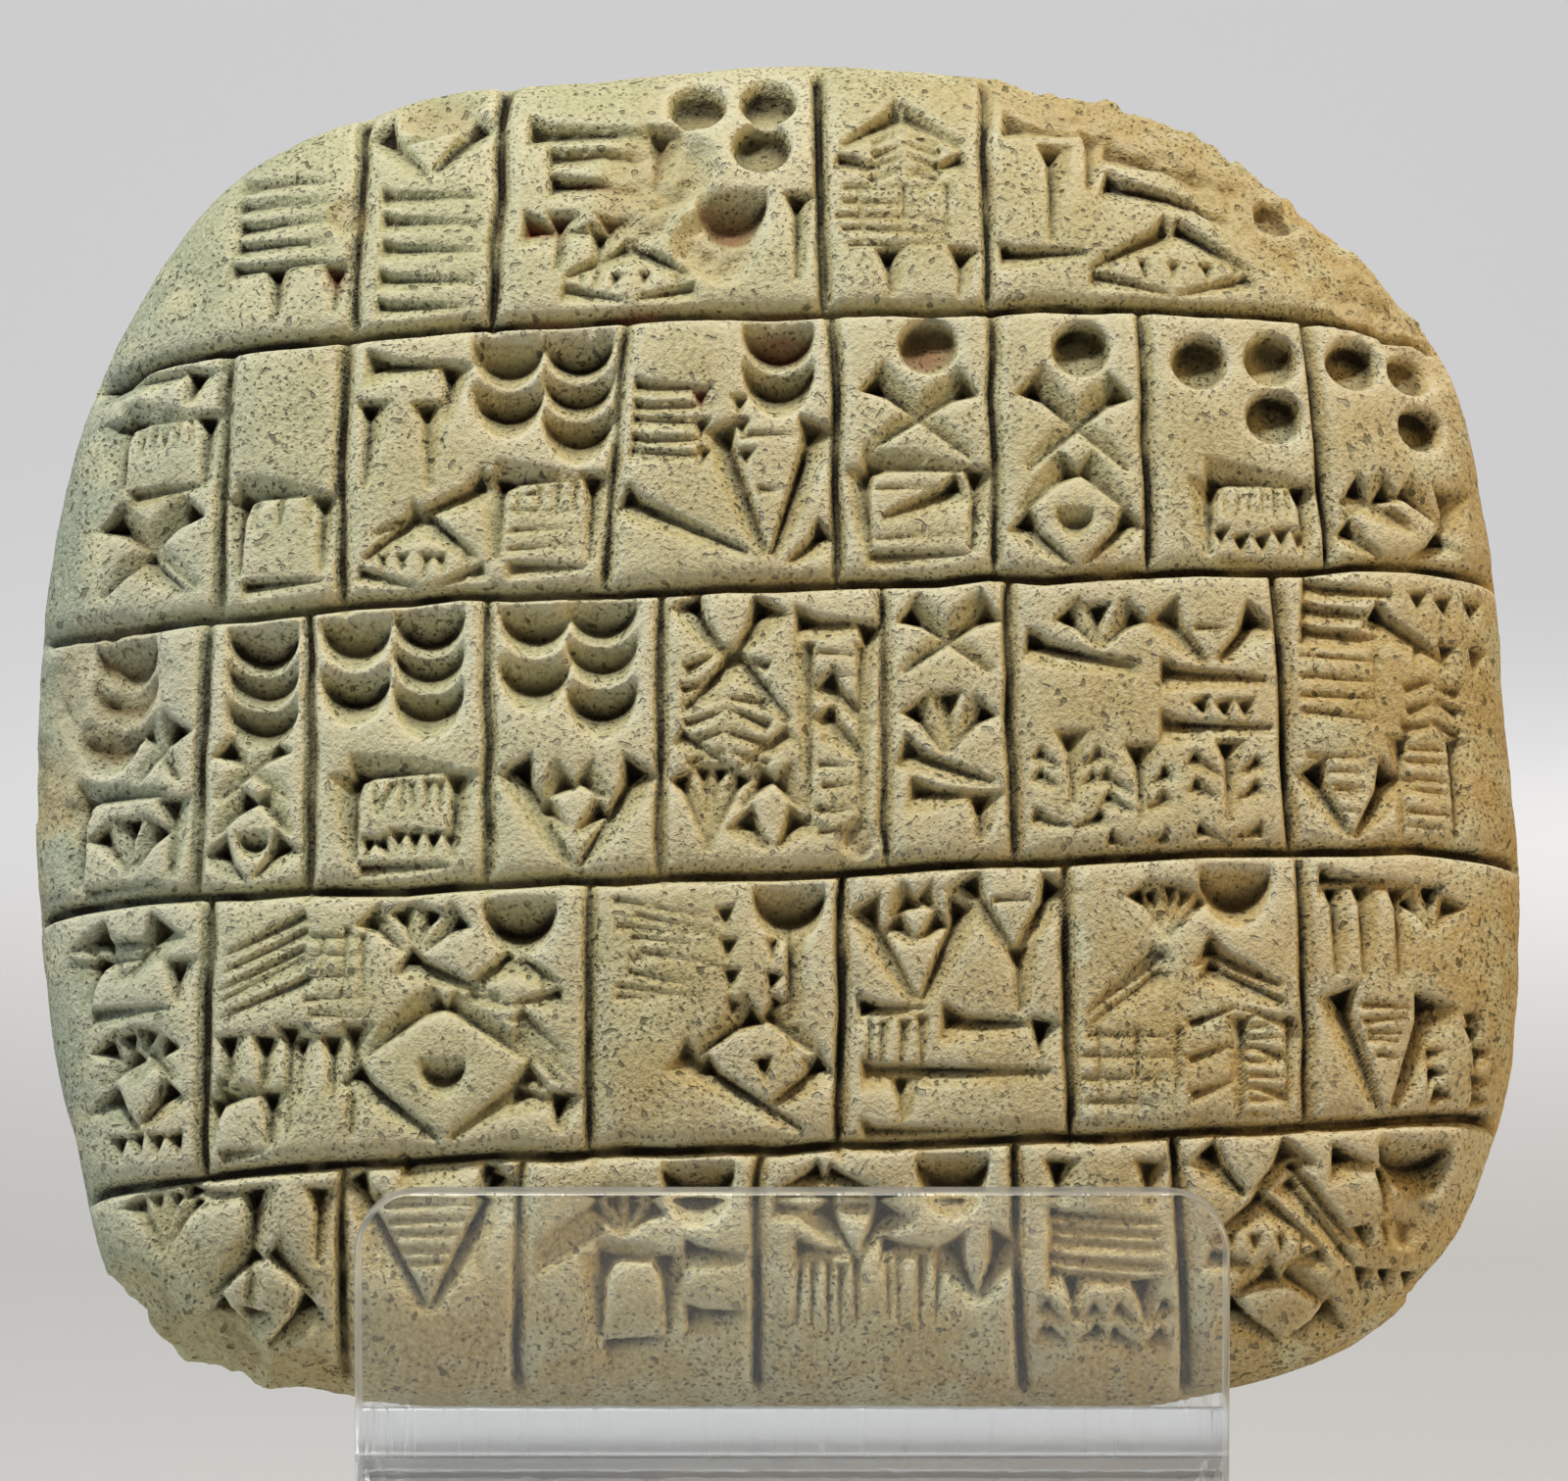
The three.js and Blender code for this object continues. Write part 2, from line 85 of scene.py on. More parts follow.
CRESCENTS = [
    (-2.7, 28.9), (-15.4, 20, 17.2), (-11.4, 20.2, 18, 15.6), (0, 20.8, 18.4), (-37.5, 3, 0.9),
    (-38.3, -1.6), (-29.3, 3.2, 1.2, -0.9), (-24, 3.6, 0.6), (-19.8, 4, 2, -0.3), (-13.8, 4.2, 1.2),
    (-10, 4.6, 2.4, -0.3), (-14.5, -12.9), (0.6, -12.1), (25.7, -10.9), (-4.5, -27.6), (9.7, -27.2),
    (35.9, -25.8),
]

# ---- The strokes: motif, left, top, right, bottom, then what the motif asks for ----
LAYOUT = [
    # First register
    ("bars", -31.5, 31.4, -25.4, 25.6, 5), ("posts", -28.8, 25.6, -25.4, 22, 2),
    ("vee", -23.2, 35.2, -17, 30.8, 1), ("bars", -23, 29.8, -17, 22.8, 5),
    ("hook", -14.6, 34.2, -7, 29.8), ("bars", -13.4, 32.4, -8, 30.6, 2),
    ("hook", -14.8, 27.6, -10.2, 23.2), ("posts", -12.6, 28.4, -9.6, 24.4, 2),
    ("roof", -12.4, 26.6, -4.8, 22.8, 4), ("posts", 0.2, 29.6, 1.8, 24, 1),
    ("roof", 3.4, 35.4, 10.8, 30.6, 0), ("chevrons", 5, 33.6, 9.2, 30.4, 4),
    ("hatch", 3.6, 29.8, 10.2, 26.4, 5, 3), ("posts", 6.2, 26.2, 10.4, 22.8, 2),
    ("hook", 12.8, 34.6, 18, 29.6), ("posts", 14.2, 32.8, 17.2, 26.4, 1),
    ("bars", 12.6, 27, 17.6, 24.6, 1), ("slants", 18.6, 33.4, 26.6, 28.8, 2, -0.25),
    ("roof", 17.8, 28, 27.4, 23.4, 5),
    # Second register
    ("hook", -39.4, 19.6, -33.4, 17.2), ("plate", -37.4, 16.6, -32.9, 12.4, 0, 5),
    ("cross", -38.6, 11.2, -33, 6.2), ("slants", -36.4, 9.2, -33.6, 6.2, 1, -0.9),
    ("plate", -30.6, 11.4, -25.8, 6.6, 0, 3), ("hook", -23.6, 19.2, -18.8, 15.4),
    ("posts", -23.6, 17, -20, 11.6, 2), ("slants", -23.4, 12.2, -16.6, 9, 1, 0.6),
    ("roof", -23.8, 10.4, -16.6, 5.8, 5), ("plate", -15.6, 12.2, -10.7, 7.2, 4, 4),
    ("bars", -8.4, 17.6, -3.6, 13.8, 5), ("ticks", -4.6, 17.4, -2.2, 13.4, 2, 3),
    ("vee", -3.2, 15.6, 2, 7.4, 2), ("slants", -9, 11.2, -1.4, 7.6, 1, -0.45),
    ("slants", 0.2, 9.4, 2.8, 7, 1, 0.9), ("cross", 5, 18, 11.2, 13.4),
    ("plate", 5, 12.6, 11, 7.8, 2, 0), ("slants", 5.6, 11.8, 10.4, 9.8, 1, 0.5),
    ("cross", 14, 17.8, 19.8, 12.6), ("kite", 13.6, 13, 20, 7, 1.05),
    ("plate", 24.6, 12.2, 29.8, 7.6, 0, 6), ("ticks", 25.2, 10, 29.6, 8, 5, 1),
    ("kite", 32, 12.6, 38.4, 7.8, 0), ("slants", 32.6, 12.6, 36.4, 10, 2, -0.6),
    ("posts", 37.4, 13, 39, 8.6, 1),
    # Third register
    ("cross", -36.4, -1.4, -33.8, -5), ("plate", -39.8, -5.6, -34.4, -10.6, 0, 0),
    ("fan", -38.8, -6.4, -35, -10, 3), ("cross", -31.8, -2.8, -27.8, -6.4),
    ("kite", -32, -5.8, -27.4, -11, 0.9), ("plate", -23.8, -5, -18.2, -10, 0, 6),
    ("ticks", -23.4, -7.4, -18.4, -9.6, 6, 1), ("vee", -15, -4.2, -8, -10.6, 0),
    ("kite", -13.6, -5.2, -9.4, -8.2, 0), ("vee", -5.2, 5, -0.6, 1.4, 0),
    ("chevrons", -5.4, 2, -0.4, -4.4, 6), ("fan", -5.8, -4, -2, -9.6, 4),
    ("roof", -5.6, 2.4, 0.6, -4.6, 0), ("kite", -2, -5, 1.4, -9.4, 0), ("hook", 0.6, 4, 5.2, 0.6),
    ("ladder", 2, 2.6, 4.6, -8.6, 9), ("slants", 2.4, 0.8, 5.4, -4.4, 2, -1.1),
    ("cross", 7, 4.6, 12.2, 0.6), ("fan", 7.4, -0.2, 11.8, -3.8, 3),
    ("slants", 6.8, -3.4, 12.4, -5.6, 1, -0.4), ("hook", 7.2, -6, 11.4, -9.2),
    ("fan", 15.8, 5.2, 20.6, 2.2, 3), ("slants", 14, 2.8, 20.6, 1.2, 2, -0.2),
    ("vee", 21.8, 5, 27.2, 1.6, 1), ("bars", 21.4, 1, 28, -2, 2), ("ticks", 24, 0, 26.4, -1.6, 3, 1),
    ("tuft", 14.4, -2.2, 18.2, -8), ("tuft", 18.4, -3.4, 22, -9), ("tuft", 23.2, -2.6, 27.4, -8.4),
    ("bars", 29.6, 6.4, 34.8, 3.8, 3), ("hatch", 29.4, 3.4, 34.4, -1, 5, 2),
    ("slants", 33.6, 5.4, 38.4, 2, 1, -0.6), ("hatch", 29.8, -3.4, 33.2, -6.4, 5, 0),
    ("vee", 30, -4, 35, -8.4, 1), ("chevrons", 35.4, 1.4, 38.8, -1.6, 3),
    ("ladder", 35.4, -2, 38.4, -8.6, 7), ("ticks", 36.4, 6.4, 39.6, 2.8, 3, 2),
    # Fourth register
    ("bars", -39.6, -12.6, -34, -14.4, 1), ("plate", -39, -15, -34, -17.6, 0, 1),
    ("vee", -39.2, -12.8, -34.6, -16, 0), ("fan", -38.4, -18.6, -34.2, -22, 4),
    ("kite", -38.2, -20, -34, -24.4, 0), ("ticks", -37.4, -23.8, -34, -26.2, 4, 1),
    ("slants", -31.6, -12.8, -26.4, -18.6, 5, 0.45), ("hatch", -26.6, -14, -22.6, -18.4, 5, 3),
    ("fan", -23.4, -12.2, -17.4, -15.6, 4), ("slants", -21, -15, -15.6, -17.4, 1, -0.5),
    ("roof", -17.6, -15.2, -12, -18, 2), ("posts", -31, -19.4, -25, -23.4, 4),
    ("posts", -27.6, -18.8, -23.8, -25.4, 2), ("plate", -31.6, -23, -28.6, -26, 0, 0),
    ("kite", -24.2, -17.8, -13.4, -25.4, 1.3), ("slants", -14.6, -18.4, -11.6, -22.6, 4, -0.9),
    ("hook", -15.2, -23, -12, -25.4), ("scratches", -9.4, -12.2, -3, -17.6, 9),
    ("ticks", -3, -12.4, -0.6, -18.6, 2, 4), ("posts", -1.6, -13, 2.4, -21, 1),
    ("kite", -4.8, -18.6, 2.6, -24, 0), ("slants", -5.6, -20.6, 1.6, -25, 1, -0.6),
    ("ticks", -1, -20.4, 1.8, -22.4, 2, 1), ("vee", 4.8, -12.2, 10.6, -18, 1),
    ("kite", 6.2, -11.8, 9.2, -14.4, 0), ("vee", 10.6, -10.6, 15.6, -15.4, 1),
    ("posts", 12.2, -14.8, 14.6, -18.6, 1), ("comb", 4.4, -18.4, 8.4, -21.8, 4),
    ("hook", 9, -18.8, 14.8, -21), ("bars", 4.4, -21.6, 15.4, -25, 2), ("posts", 5.6, -22, 8, -25, 1),
    ("fan", 19.8, -10.8, 24, -14.4, 5), ("slants", 17.2, -14.8, 21.4, -19.4, 5, 0.8),
    ("hatch", 17, -19.6, 22.6, -24.6, 5, 3), ("chevrons", 23, -18, 28.6, -25, 4),
    ("slants", 24, -14.6, 28.4, -17.6, 2, -0.5), ("ladder", 26, -18.4, 28.6, -24.4, 8),
    ("posts", 31.2, -10.6, 34.8, -16.2, 3), ("bars", 30.4, -10, 36.4, -10.8, 1),
    ("vee", 31.6, -16.8, 36.8, -24, 5), ("fan", 35.4, -10.4, 38.6, -13.4, 3),
    ("ticks", 36.6, -17.4, 39.2, -22.8, 2, 5),
    # Fifth register
    ("fan", -36.8, -27.6, -32.6, -31.4, 4), ("hook", -34, -28, -29.6, -35),
    ("posts", -29.4, -28, -26, -32.4, 2), ("kite", -31.8, -31.6, -26, -36.8, 0),
    ("bars", -30.4, -34.6, -28, -35.2, 1), ("vee", -23.6, -27.2, -15.6, -34.6, 0),
    ("ladder", -22.4, -28.4, -16.8, -32.6, 5), ("hook", -21.4, -26.8, -16, -28.6),
    ("slants", -13.8, -28.6, -10, -32.8, 5, 0.7), ("fan", -10.6, -28.2, -6.8, -31, 4),
    ("plate", -9.8, -32, -6.2, -36.4, 0, 0), ("bars", -5.4, -31.4, -1.8, -34.8, 2),
    ("roof", -0.4, -27.2, 5.4, -29.4, 0), ("vee", 2.4, -29, 6.2, -31.8, 0),
    ("comb", 0.6, -31.6, 4.6, -35.8, 5), ("comb", 5.6, -31.2, 9, -35.4, 4),
    ("vee", 9.4, -30.8, 12.6, -34.2, 0), ("posts", 15.6, -26.6, 20.6, -29.4, 2),
    ("bars", 15, -29.6, 21.4, -32.8, 5), ("tuft", 14.8, -33, 18, -36.4),
    ("tuft", 18.6, -33, 21.8, -36.4), ("vee", 23.8, -25.8, 29, -28.6, 0),
    ("roof", 24, -28.4, 30.6, -32.6, 4), ("slants", 28.6, -26.4, 32.4, -32, 2, -1.2),
    ("kite", 25, -32.6, 31.4, -36.4, 0), ("hook", 31, -26.4, 34.4, -29.4),
    ("ticks", 32.6, -29.6, 35.6, -33, 3, 2),
]

# The other face was written on less: a few wide cases above, and the rest smooth.
BACK_RULINGS = [[23.4, 22.8, 23.2, 22.6, 21.8], [7.4, 8.2, 7.8, 8.4, 7.6]]
BACK_DIVIDERS = [[(-14.2, -14.6), (9.8, 9.2)], [(-20.6, -20.2), (2.4, 2.8), (20.4, 20.9)]]
BACK_LAYOUT = [
    ("bars", -24, 33.6, -17, 28, 3), ("roof", -12, 33.6, -4, 27.4, 3), ("vee", 0.6, 34, 7.4, 27.6, 0),
    ("posts", 12.8, 33, 18, 26.6, 3), ("cross", 20.4, 31.6, 26.6, 26.6),
    ("cross", -34, 20.4, -28.4, 15), ("plate", -29.6, 14.6, -23.4, 10, 0, 4),
    ("fan", -17.4, 20.4, -11.8, 15.4, 3), ("bars", -9, 19.6, -1, 15.6, 2),
    ("kite", -8.6, 14.8, -1.4, 10.2, 0), ("hook", 5.4, 20.6, 11.4, 14.6),
    ("hatch", 12.4, 15, 18, 11, 4, 2), ("slants", 23.6, 19.4, 31, 14, 2, -0.4),
    ("posts", 25, 13.6, 29, 10, 2),
]


def registers(rulings, first, last, dividers):
    """Each register's upper and lower line with its dividers, from line first to line last."""
    lines = [first, *rulings, last]
    return [(upper, lower, row) for upper, lower, row in zip(lines[:-1], lines[1:], dividers)]


SIDES = {
    "front": {
        "rulings": RULINGS, "dividers": registers(RULINGS, UPPER_EDGE, LOWER_EDGE, DIVIDERS),
        "layout": LAYOUT, "crescents": CRESCENTS, "dots": DOTS,
    },
    "back": {
        "rulings": BACK_RULINGS, "dividers": registers(BACK_RULINGS, UPPER_EDGE, LOWER_EDGE, BACK_DIVIDERS),
        "layout": BACK_LAYOUT, "crescents": [(-29.6, 25.8), (-26, 25.8)], "dots": [(33.4, 12, 1.6)],
    },
}

# ---- Broken and stained places: x, z, y, radius, depth ----
CHIPS = [
    (16.6, 37.6, -3.5, 4.5, 0.9), (21.6, 36, -4, 5.2, 1.2), (26.6, 33.4, -4, 5.4, 1.4),
    (30.8, 30, -4, 5.2, 1.4), (34.4, 26.2, -4, 4.6, 1.2), (37, 22.6, -3.6, 3.2, 0.9),
    (25.6, 31.6, -7.6, 2.4, 0.8), (30.6, 27.4, -7, 2, 1.0), (-6.6, 31, -7, 3, 1.5),
    (-3.6, 26.4, -8.8, 2.4, 1.5), (-8, 28.6, -7.8, 2.4, 0.9), (-19.6, 36, -4.4, 2.4, 1.3),
    (-39, 1, -5, 4.4, 0.9), (-41, -4, -2.6, 3, 0.7), (-35.6, -34.4, -1, 3.4, 1.3),
    (-31.4, -36.8, -1.6, 3.4, 1.4), (-26.4, -38.2, -1.4, 3, 1.2), (4.4, -8.8, -10.2, 1.1, 0.7),
    (38, -33, 2, 3.4, 0.7), (-12, 38.5, 2, 3, 0.6), (35.8, -29.6, -4.6, 1.6, 0.7),
    (-24.6, 28.6, -7, 1.3, 0.7), (18.6, 7.6, -10, 0.9, 0.5),
]
DEPOSITS = [
    (-6.4, 29.6, 3.2), (-3.2, 26.4, 2.4), (-9.6, 31.4, 2.2), (-14, 27.4, 2.2), (-5, 16.8, 2),
    (0, 21, 1.8), (-8, 23, 1.6), (-26.6, 25, 2), (8.4, 19.6, 1.5), (-13.2, 22.6, 1.8),
]

# ---- The relief map, in millimetres ----
CELL = 0.1
REACH_X = 44.0
REACH_Z = 41.0
PRESSURE = 1.35
HEAD_SLOPE = 2.4
TAIL_SLOPE = 0.9
LINE_WALL = 0.42
RULING_DEPTH = 1.45
RULING_BEVELS = (1.3, 1.8)
DIVIDER_DEPTHS = (0.85, 1.3)
DIVIDER_BEVELS = (0.9, 1.7)
DOT_DEPTH = 1.35
DOT_SLANT = 0.3
SAG_SHARE = 0.4
SAG_BLUR = 0.85
WORN_SHARE = 0.6
WORN_BLUR = 0.08
CREASE_BLUR = 0.4
CAVITY_BLUR = 1.5
map_x, map_z = np.meshgrid(
    np.arange(-REACH_X, REACH_X + CELL / 2, CELL),
    np.arange(-REACH_Z, REACH_Z + CELL / 2, CELL),
)
cut = np.zeros_like(map_x)
random = np.random.default_rng(26)


def window(x0, z0, x1, z1, margin):
    """The part of the map around a mark, as a pair of slices."""
    left = max(0, int((min(x0, x1) - margin + REACH_X) / CELL))
    right = int((max(x0, x1) + margin + REACH_X) / CELL) + 2
    low = max(0, int((min(z0, z1) - margin + REACH_Z) / CELL))
    high = int((max(z0, z1) + margin + REACH_Z) / CELL) + 2
    return slice(low, high), slice(left, right)


def press(area, depth):
    cut[area] = np.maximum(cut[area], depth)


def stroke(x0, z0, x1, z1, depth=0.85, side=1, socket=1.0, steep=3.0, ramp=0.7):
    """A reed stroke from its head to its tail. Its left wall is steep, or for side -1 its right one."""
    depth = depth * PRESSURE
    length = math.hypot(x1 - x0, z1 - z0)
    ux, uz = (x1 - x0) / length, (z1 - z0) / length
    area = window(x0, z0, x1, z1, depth / ramp + 0.8)
    dx, dz = map_x[area] - x0, map_z[area] - z0
    along = dx * ux + dz * uz
    across = (dz * ux - dx * uz) * side
    share = np.clip(along / length, 0, 1)
    keel = depth * (0.3 + 0.7 * (1 - share) ** 0.8)
    trough = keel - np.where(across > 0, steep * across, -ramp * across)
    ends = np.minimum(HEAD_SLOPE * along, TAIL_SLOPE * (length - along))
    press(area, np.minimum(trough, ends))
    if socket:
        size = socket * (0.45 + 0.5 * depth)
        wide, deep_end = 0.95 * size, 2.5 * size
        sides = 1.5 * depth * socket * (1 - along / deep_end - np.abs(across) / wide) * 1.3
        press(area, np.minimum(sides, 2.8 * along))


def ruled_line(points, depth, gentle):
    """A line cut along points: its right wall is steep, and its left one a bevel as wide as gentle."""
    for (x0, z0), (x1, z1) in zip(points[:-1], points[1:]):
        area = window(x0, z0, x1, z1, gentle + 0.2)
        length = math.hypot(x1 - x0, z1 - z0)
        ux, uz = (x1 - x0) / length, (z1 - z0) / length
        dx, dz = map_x[area] - x0, map_z[area] - z0
        along = np.clip(dx * ux + dz * uz, 0, length)
        away = np.hypot(dx - along * ux, dz - along * uz)
        across = dz * ux - dx * uz
        bevel = 0.45 * np.clip(1 - away / gentle, 0, 1) ** 2
        bevel += 0.55 * np.clip(1 - away / (1.5 * LINE_WALL), 0, 1)
        press(area, depth * np.where(across > 0, bevel, 1 - away / LINE_WALL))


def ruling_height(heights, x):
    return np.interp(x, STATIONS, heights)


def ruling_points(heights, random):
    xs = np.linspace(-42, 42, 29)
    wander = random.normal(0, 0.09, xs.size)
    return [(x, ruling_height(heights, x) + w) for x, w in zip(xs, wander)]


def divider_points(upper_heights, lower_heights, upper_x, lower_x, random):
    upper, lower = ruling_height(upper_heights, upper_x), ruling_height(lower_heights, lower_x)
    steps = np.linspace(0, 1, 7)
    wander = random.normal(0, 0.07, steps.size)
    xs = upper_x + (lower_x - upper_x) * steps + wander
    return list(zip(xs, upper + (lower - upper) * steps))


def round_dot(x, z, radius):
    """A round mark pressed straight in, a little deeper at its upper side."""
    area = window(x, z, x, z, radius + 0.3)
    dx, dz = map_x[area] - x, map_z[area] - z
    away = np.clip(np.hypot(dx, dz) / radius, 0, 1)
    press(area, (DOT_DEPTH + DOT_SLANT * dz) * np.sqrt(1 - away**4))


def crescent(x, z, radius=2.05, slant=math.radians(47), reach=0.7):
    """The end of a slanted round stylus: a flat end wall above, and a round trough that runs out below."""
    area = window(x, z, x, z, 3)
    dx, dz = map_x[area] - x, map_z[area] - z
    half = np.sqrt(np.clip(radius**2 - dx**2, 0, None))
    trough = dz * math.tan(slant) + half / math.cos(slant)
    end_wall = reach * math.sin(slant) + (reach * math.cos(slant) - dz) / math.tan(slant)
    press(area, np.where(half > 0, np.minimum(trough, end_wall), 0))


# ---- Motifs: groups of strokes that fill a space and spell nothing ----


def shaky(value, amount=0.12):
    return value + random.normal(0, amount)


def drawn(x0, z0, x1, z1, **how):
    stroke(shaky(x0), shaky(z0), shaky(x1), shaky(z1), **how)


def spread(first, last, count):
    return [(first + last) / 2] if count == 1 else list(np.linspace(first, last, count))


def bars(left, top, right, bottom, count):
    deep = 0.8 if count < 4 else 0.55
    for z in spread(top, bottom, count):
        drawn(left, z, right, z - 0.2, depth=deep, socket=0.8)


def posts(left, top, right, bottom, count):
    for x in spread(left, right, count):
        drawn(x, top, x, bottom, depth=0.75, side=-1)


def slants(left, top, right, bottom, count, lean):
    """Strokes side by side that fall to the right for a lean below 0, and to the left above it."""
    deep, socket = (0.85, 0.9) if count < 3 else (0.5, 0.5)
    start, end, side = (left, right, 1) if lean < 0 else (right, left, -1)
    drop = min(abs(lean) * (right - left), top - bottom)
    for z in spread(top, bottom + drop, count):
        drawn(start, z, end, z - drop, depth=deep, side=side, socket=socket)


def plate(left, top, right, bottom, lines, teeth):
    """A raised plate with a steep edge all round, crossed by fine lines and short teeth."""
    drawn(left - 0.5, top, right, top, depth=0.8, side=-1)
    drawn(left, top + 0.4, left, bottom, depth=0.85, side=1)
    drawn(right, top + 0.3, right, bottom, depth=0.8, side=-1)
    drawn(left, bottom, right, bottom, depth=0.6, side=1, socket=0.4)
    for z in spread(top - 0.9, bottom + 0.9, lines) if lines else []:
        drawn(left + 0.3, z, right - 0.3, z, depth=0.28, socket=0, ramp=1.2)
    for x in spread(left + 0.8, right - 0.8, teeth) if teeth else []:
        drawn(x, top, x, top - 0.45 * (top - bottom), depth=0.5, side=-1, socket=0.55, ramp=1.2)


def comb(left, top, right, bottom, count):
    drawn(left, top, right, top, depth=0.7)
    for x in spread(left + 0.4, right - 0.4, count):
        drawn(x, top - 0.3, x, bottom, depth=0.55, side=-1, socket=0.6, ramp=1.1)


def vee(left, top, right, bottom, lines):
    middle = (left + right) / 2
    drawn(left, top, middle, bottom, depth=0.95, side=1)
    drawn(right, top, middle, bottom, depth=1.0, side=-1)
    for z in spread(top - 0.8, top - 0.5 * (top - bottom), lines) if lines else []:
        half = (right - left) / 2 * (1 - (top - z) / (top - bottom)) - 0.6
        drawn(middle - half, z, middle + half, z, depth=0.4, socket=0.3, ramp=1.1)


def cross(left, top, right, bottom):
    drawn(left, top, right, bottom, depth=0.85, side=-1)
    drawn(right, top, left, bottom, depth=0.9, side=1)


def roof(left, top, right, bottom, teeth):
    middle = (left + right) / 2
    eaves = top - 0.62 * (top - bottom)
    drawn(middle, top, left, eaves, depth=0.85, side=-1, socket=0.8)
    drawn(middle, top, right, eaves, depth=0.8, side=1, socket=0.5)
    for x in spread(left + 1.2, right - 1.2, teeth) if teeth else []:
        drawn(x, eaves + 0.5, x, bottom + 0.7, depth=0.55, side=-1, socket=0.6, ramp=1.2)
    drawn(left, eaves - 0.4, middle, bottom, depth=0.6, side=1, socket=0.4)
    drawn(right, eaves - 0.4, middle, bottom, depth=0.6, side=-1, socket=0.4)


def fan(left, top, right, bottom, count):
    middle = (left + right) / 2
    for x in spread(left, right, count):
        lift = abs(x - middle) / max(0.1, right - left)
        drawn(x, top - 1.6 * lift, middle, bottom, depth=0.75, side=-1 if x < middle else 1, socket=0.9)


def chevrons(left, top, right, bottom, count):
    middle = (left + right) / 2
    fall = 0.16 * (right - left)
    for z in spread(top, bottom + fall, count):
        drawn(left, z - fall, middle, z, depth=0.5, socket=0.5, ramp=0.9)
        drawn(right, z - fall, middle, z, depth=0.5, side=-1, socket=0.5, ramp=0.9)


def kite(left, top, right, bottom, pit):
    """Four strokes round a raised diamond, with a round pit in it where pit is its radius."""
    middle, waist = (left + right) / 2, (top + bottom) / 2
    drawn(middle, top, left, waist, depth=0.8, side=1)
    drawn(middle, top, right, waist, depth=0.8, side=-1, socket=0.5)
    drawn(left, waist, middle, bottom, depth=0.8, side=1)
    drawn(right, waist, middle, bottom, depth=0.8, side=-1)
    if pit:
        crescent(middle, waist, radius=pit, reach=0.4)


def hook(left, top, right, bottom):
    drawn(left, top, right, top - 0.3, depth=0.85, side=1)
    drawn(right, top, right - 0.4, bottom, depth=0.85, side=-1)


def ticks(left, top, right, bottom, count, rows):
    for row, z in enumerate(spread(top, bottom + 0.8, rows)):
        for x in spread(left, right, count):
            drawn(x + 0.2 * row, z, x + 0.1, z - 1.3, depth=0.55, side=-1, socket=0.85, ramp=1.1)


def hatch(left, top, right, bottom, lines, uprights):
    for z in spread(top, bottom, lines):
        drawn(left, z, right, z - 0.2, depth=0.32, socket=0.2, ramp=0.9)
    for x in spread(left + 1, right - 0.6, uprights) if uprights else []:
        drawn(x, top + 0.3, x, bottom, depth=0.34, side=-1, socket=0.5, ramp=1.1)


def ladder(left, top, right, bottom, rungs):
    drawn(left, top, left, bottom, depth=0.6, side=1, socket=0.6)
    drawn(right, top, right, bottom, depth=0.6, side=-1, socket=0.6)
    for z in spread(top - 0.5, bottom + 0.5, rungs):
        drawn(left + 0.2, z, right - 0.2, z - 0.1, depth=0.35, socket=0.3, ramp=1.0)


def tuft(left, top, right, bottom):
    """Two staggered pairs of short heads over a pair that opens at the foot."""
    middle = (left + right) / 2
    reach = (right - left) / 2
    drawn(middle, top, middle + 0.1, bottom + 1, depth=0.7, side=-1, socket=1.0)
    for z in (top - 1.9, top - 3.2):
        drawn(middle - reach, z + 0.6, middle - 0.2, z - 0.5, depth=0.5, socket=0.7)
        drawn(middle + reach, z + 0.6, middle + 0.2, z - 0.5, depth=0.5, side=-1, socket=0.7)
    drawn(middle - reach, bottom + 0.7, middle, bottom, depth=0.55, socket=0.7)
    drawn(middle + reach, bottom + 0.7, middle, bottom, depth=0.55, side=-1, socket=0.7)


def scratches(left, top, right, bottom, count):
    for z in spread(top, bottom, count):
        drawn(left + random.uniform(0, 2), z, right - random.uniform(0, 2), z + random.uniform(-1.6, 0.8),
              depth=0.26, socket=0.2, ramp=0.7)


MOTIFS = {
    made.__name__: made
    for made in (bars, posts, slants, plate, comb, vee, cross, roof, fan, chevrons, kite, hook, ticks,
                 hatch, ladder, tuft, scratches)
}


def softened(values, sigma):
    """The map blurred by a Gaussian of sigma millimetres."""
    rows = np.fft.fftfreq(values.shape[0], CELL)[:, None]
    columns = np.fft.rfftfreq(values.shape[1], CELL)[None, :]
    falloff = np.exp(-2 * (math.pi * sigma) ** 2 * (rows**2 + columns**2))
    return np.fft.irfft2(np.fft.rfft2(values) * falloff, s=values.shape)


def draw_relief(side):
    """The depth of one side's marks, its creases, and how far each place lies below those around it."""
    cut[:] = 0
    for heights in side["rulings"]:
        points = ruling_points(heights, random)
        ruled_line(points, RULING_DEPTH, random.uniform(*RULING_BEVELS))
    for upper, lower, dividers in side["dividers"]:
        for upper_x, lower_x in dividers:
            points = divider_points(upper, lower, upper_x, lower_x, random)
            ruled_line(points, random.uniform(*DIVIDER_DEPTHS), random.uniform(*DIVIDER_BEVELS))
    for name, *where in side["layout"]:
        MOTIFS[name](*where)
    for x, *heights in side["crescents"]:
        for z in heights:
            crescent(x, z)
    for x, z, radius in side["dots"]:
        round_dot(x, z, radius)
    pressed = np.maximum(cut, 0)
    depth = pressed + SAG_SHARE * softened(pressed, SAG_BLUR)
    depth = (1 - WORN_SHARE) * depth + WORN_SHARE * softened(depth, WORN_BLUR)
    return depth, depth - softened(depth, CREASE_BLUR), depth - softened(depth, CAVITY_BLUR)


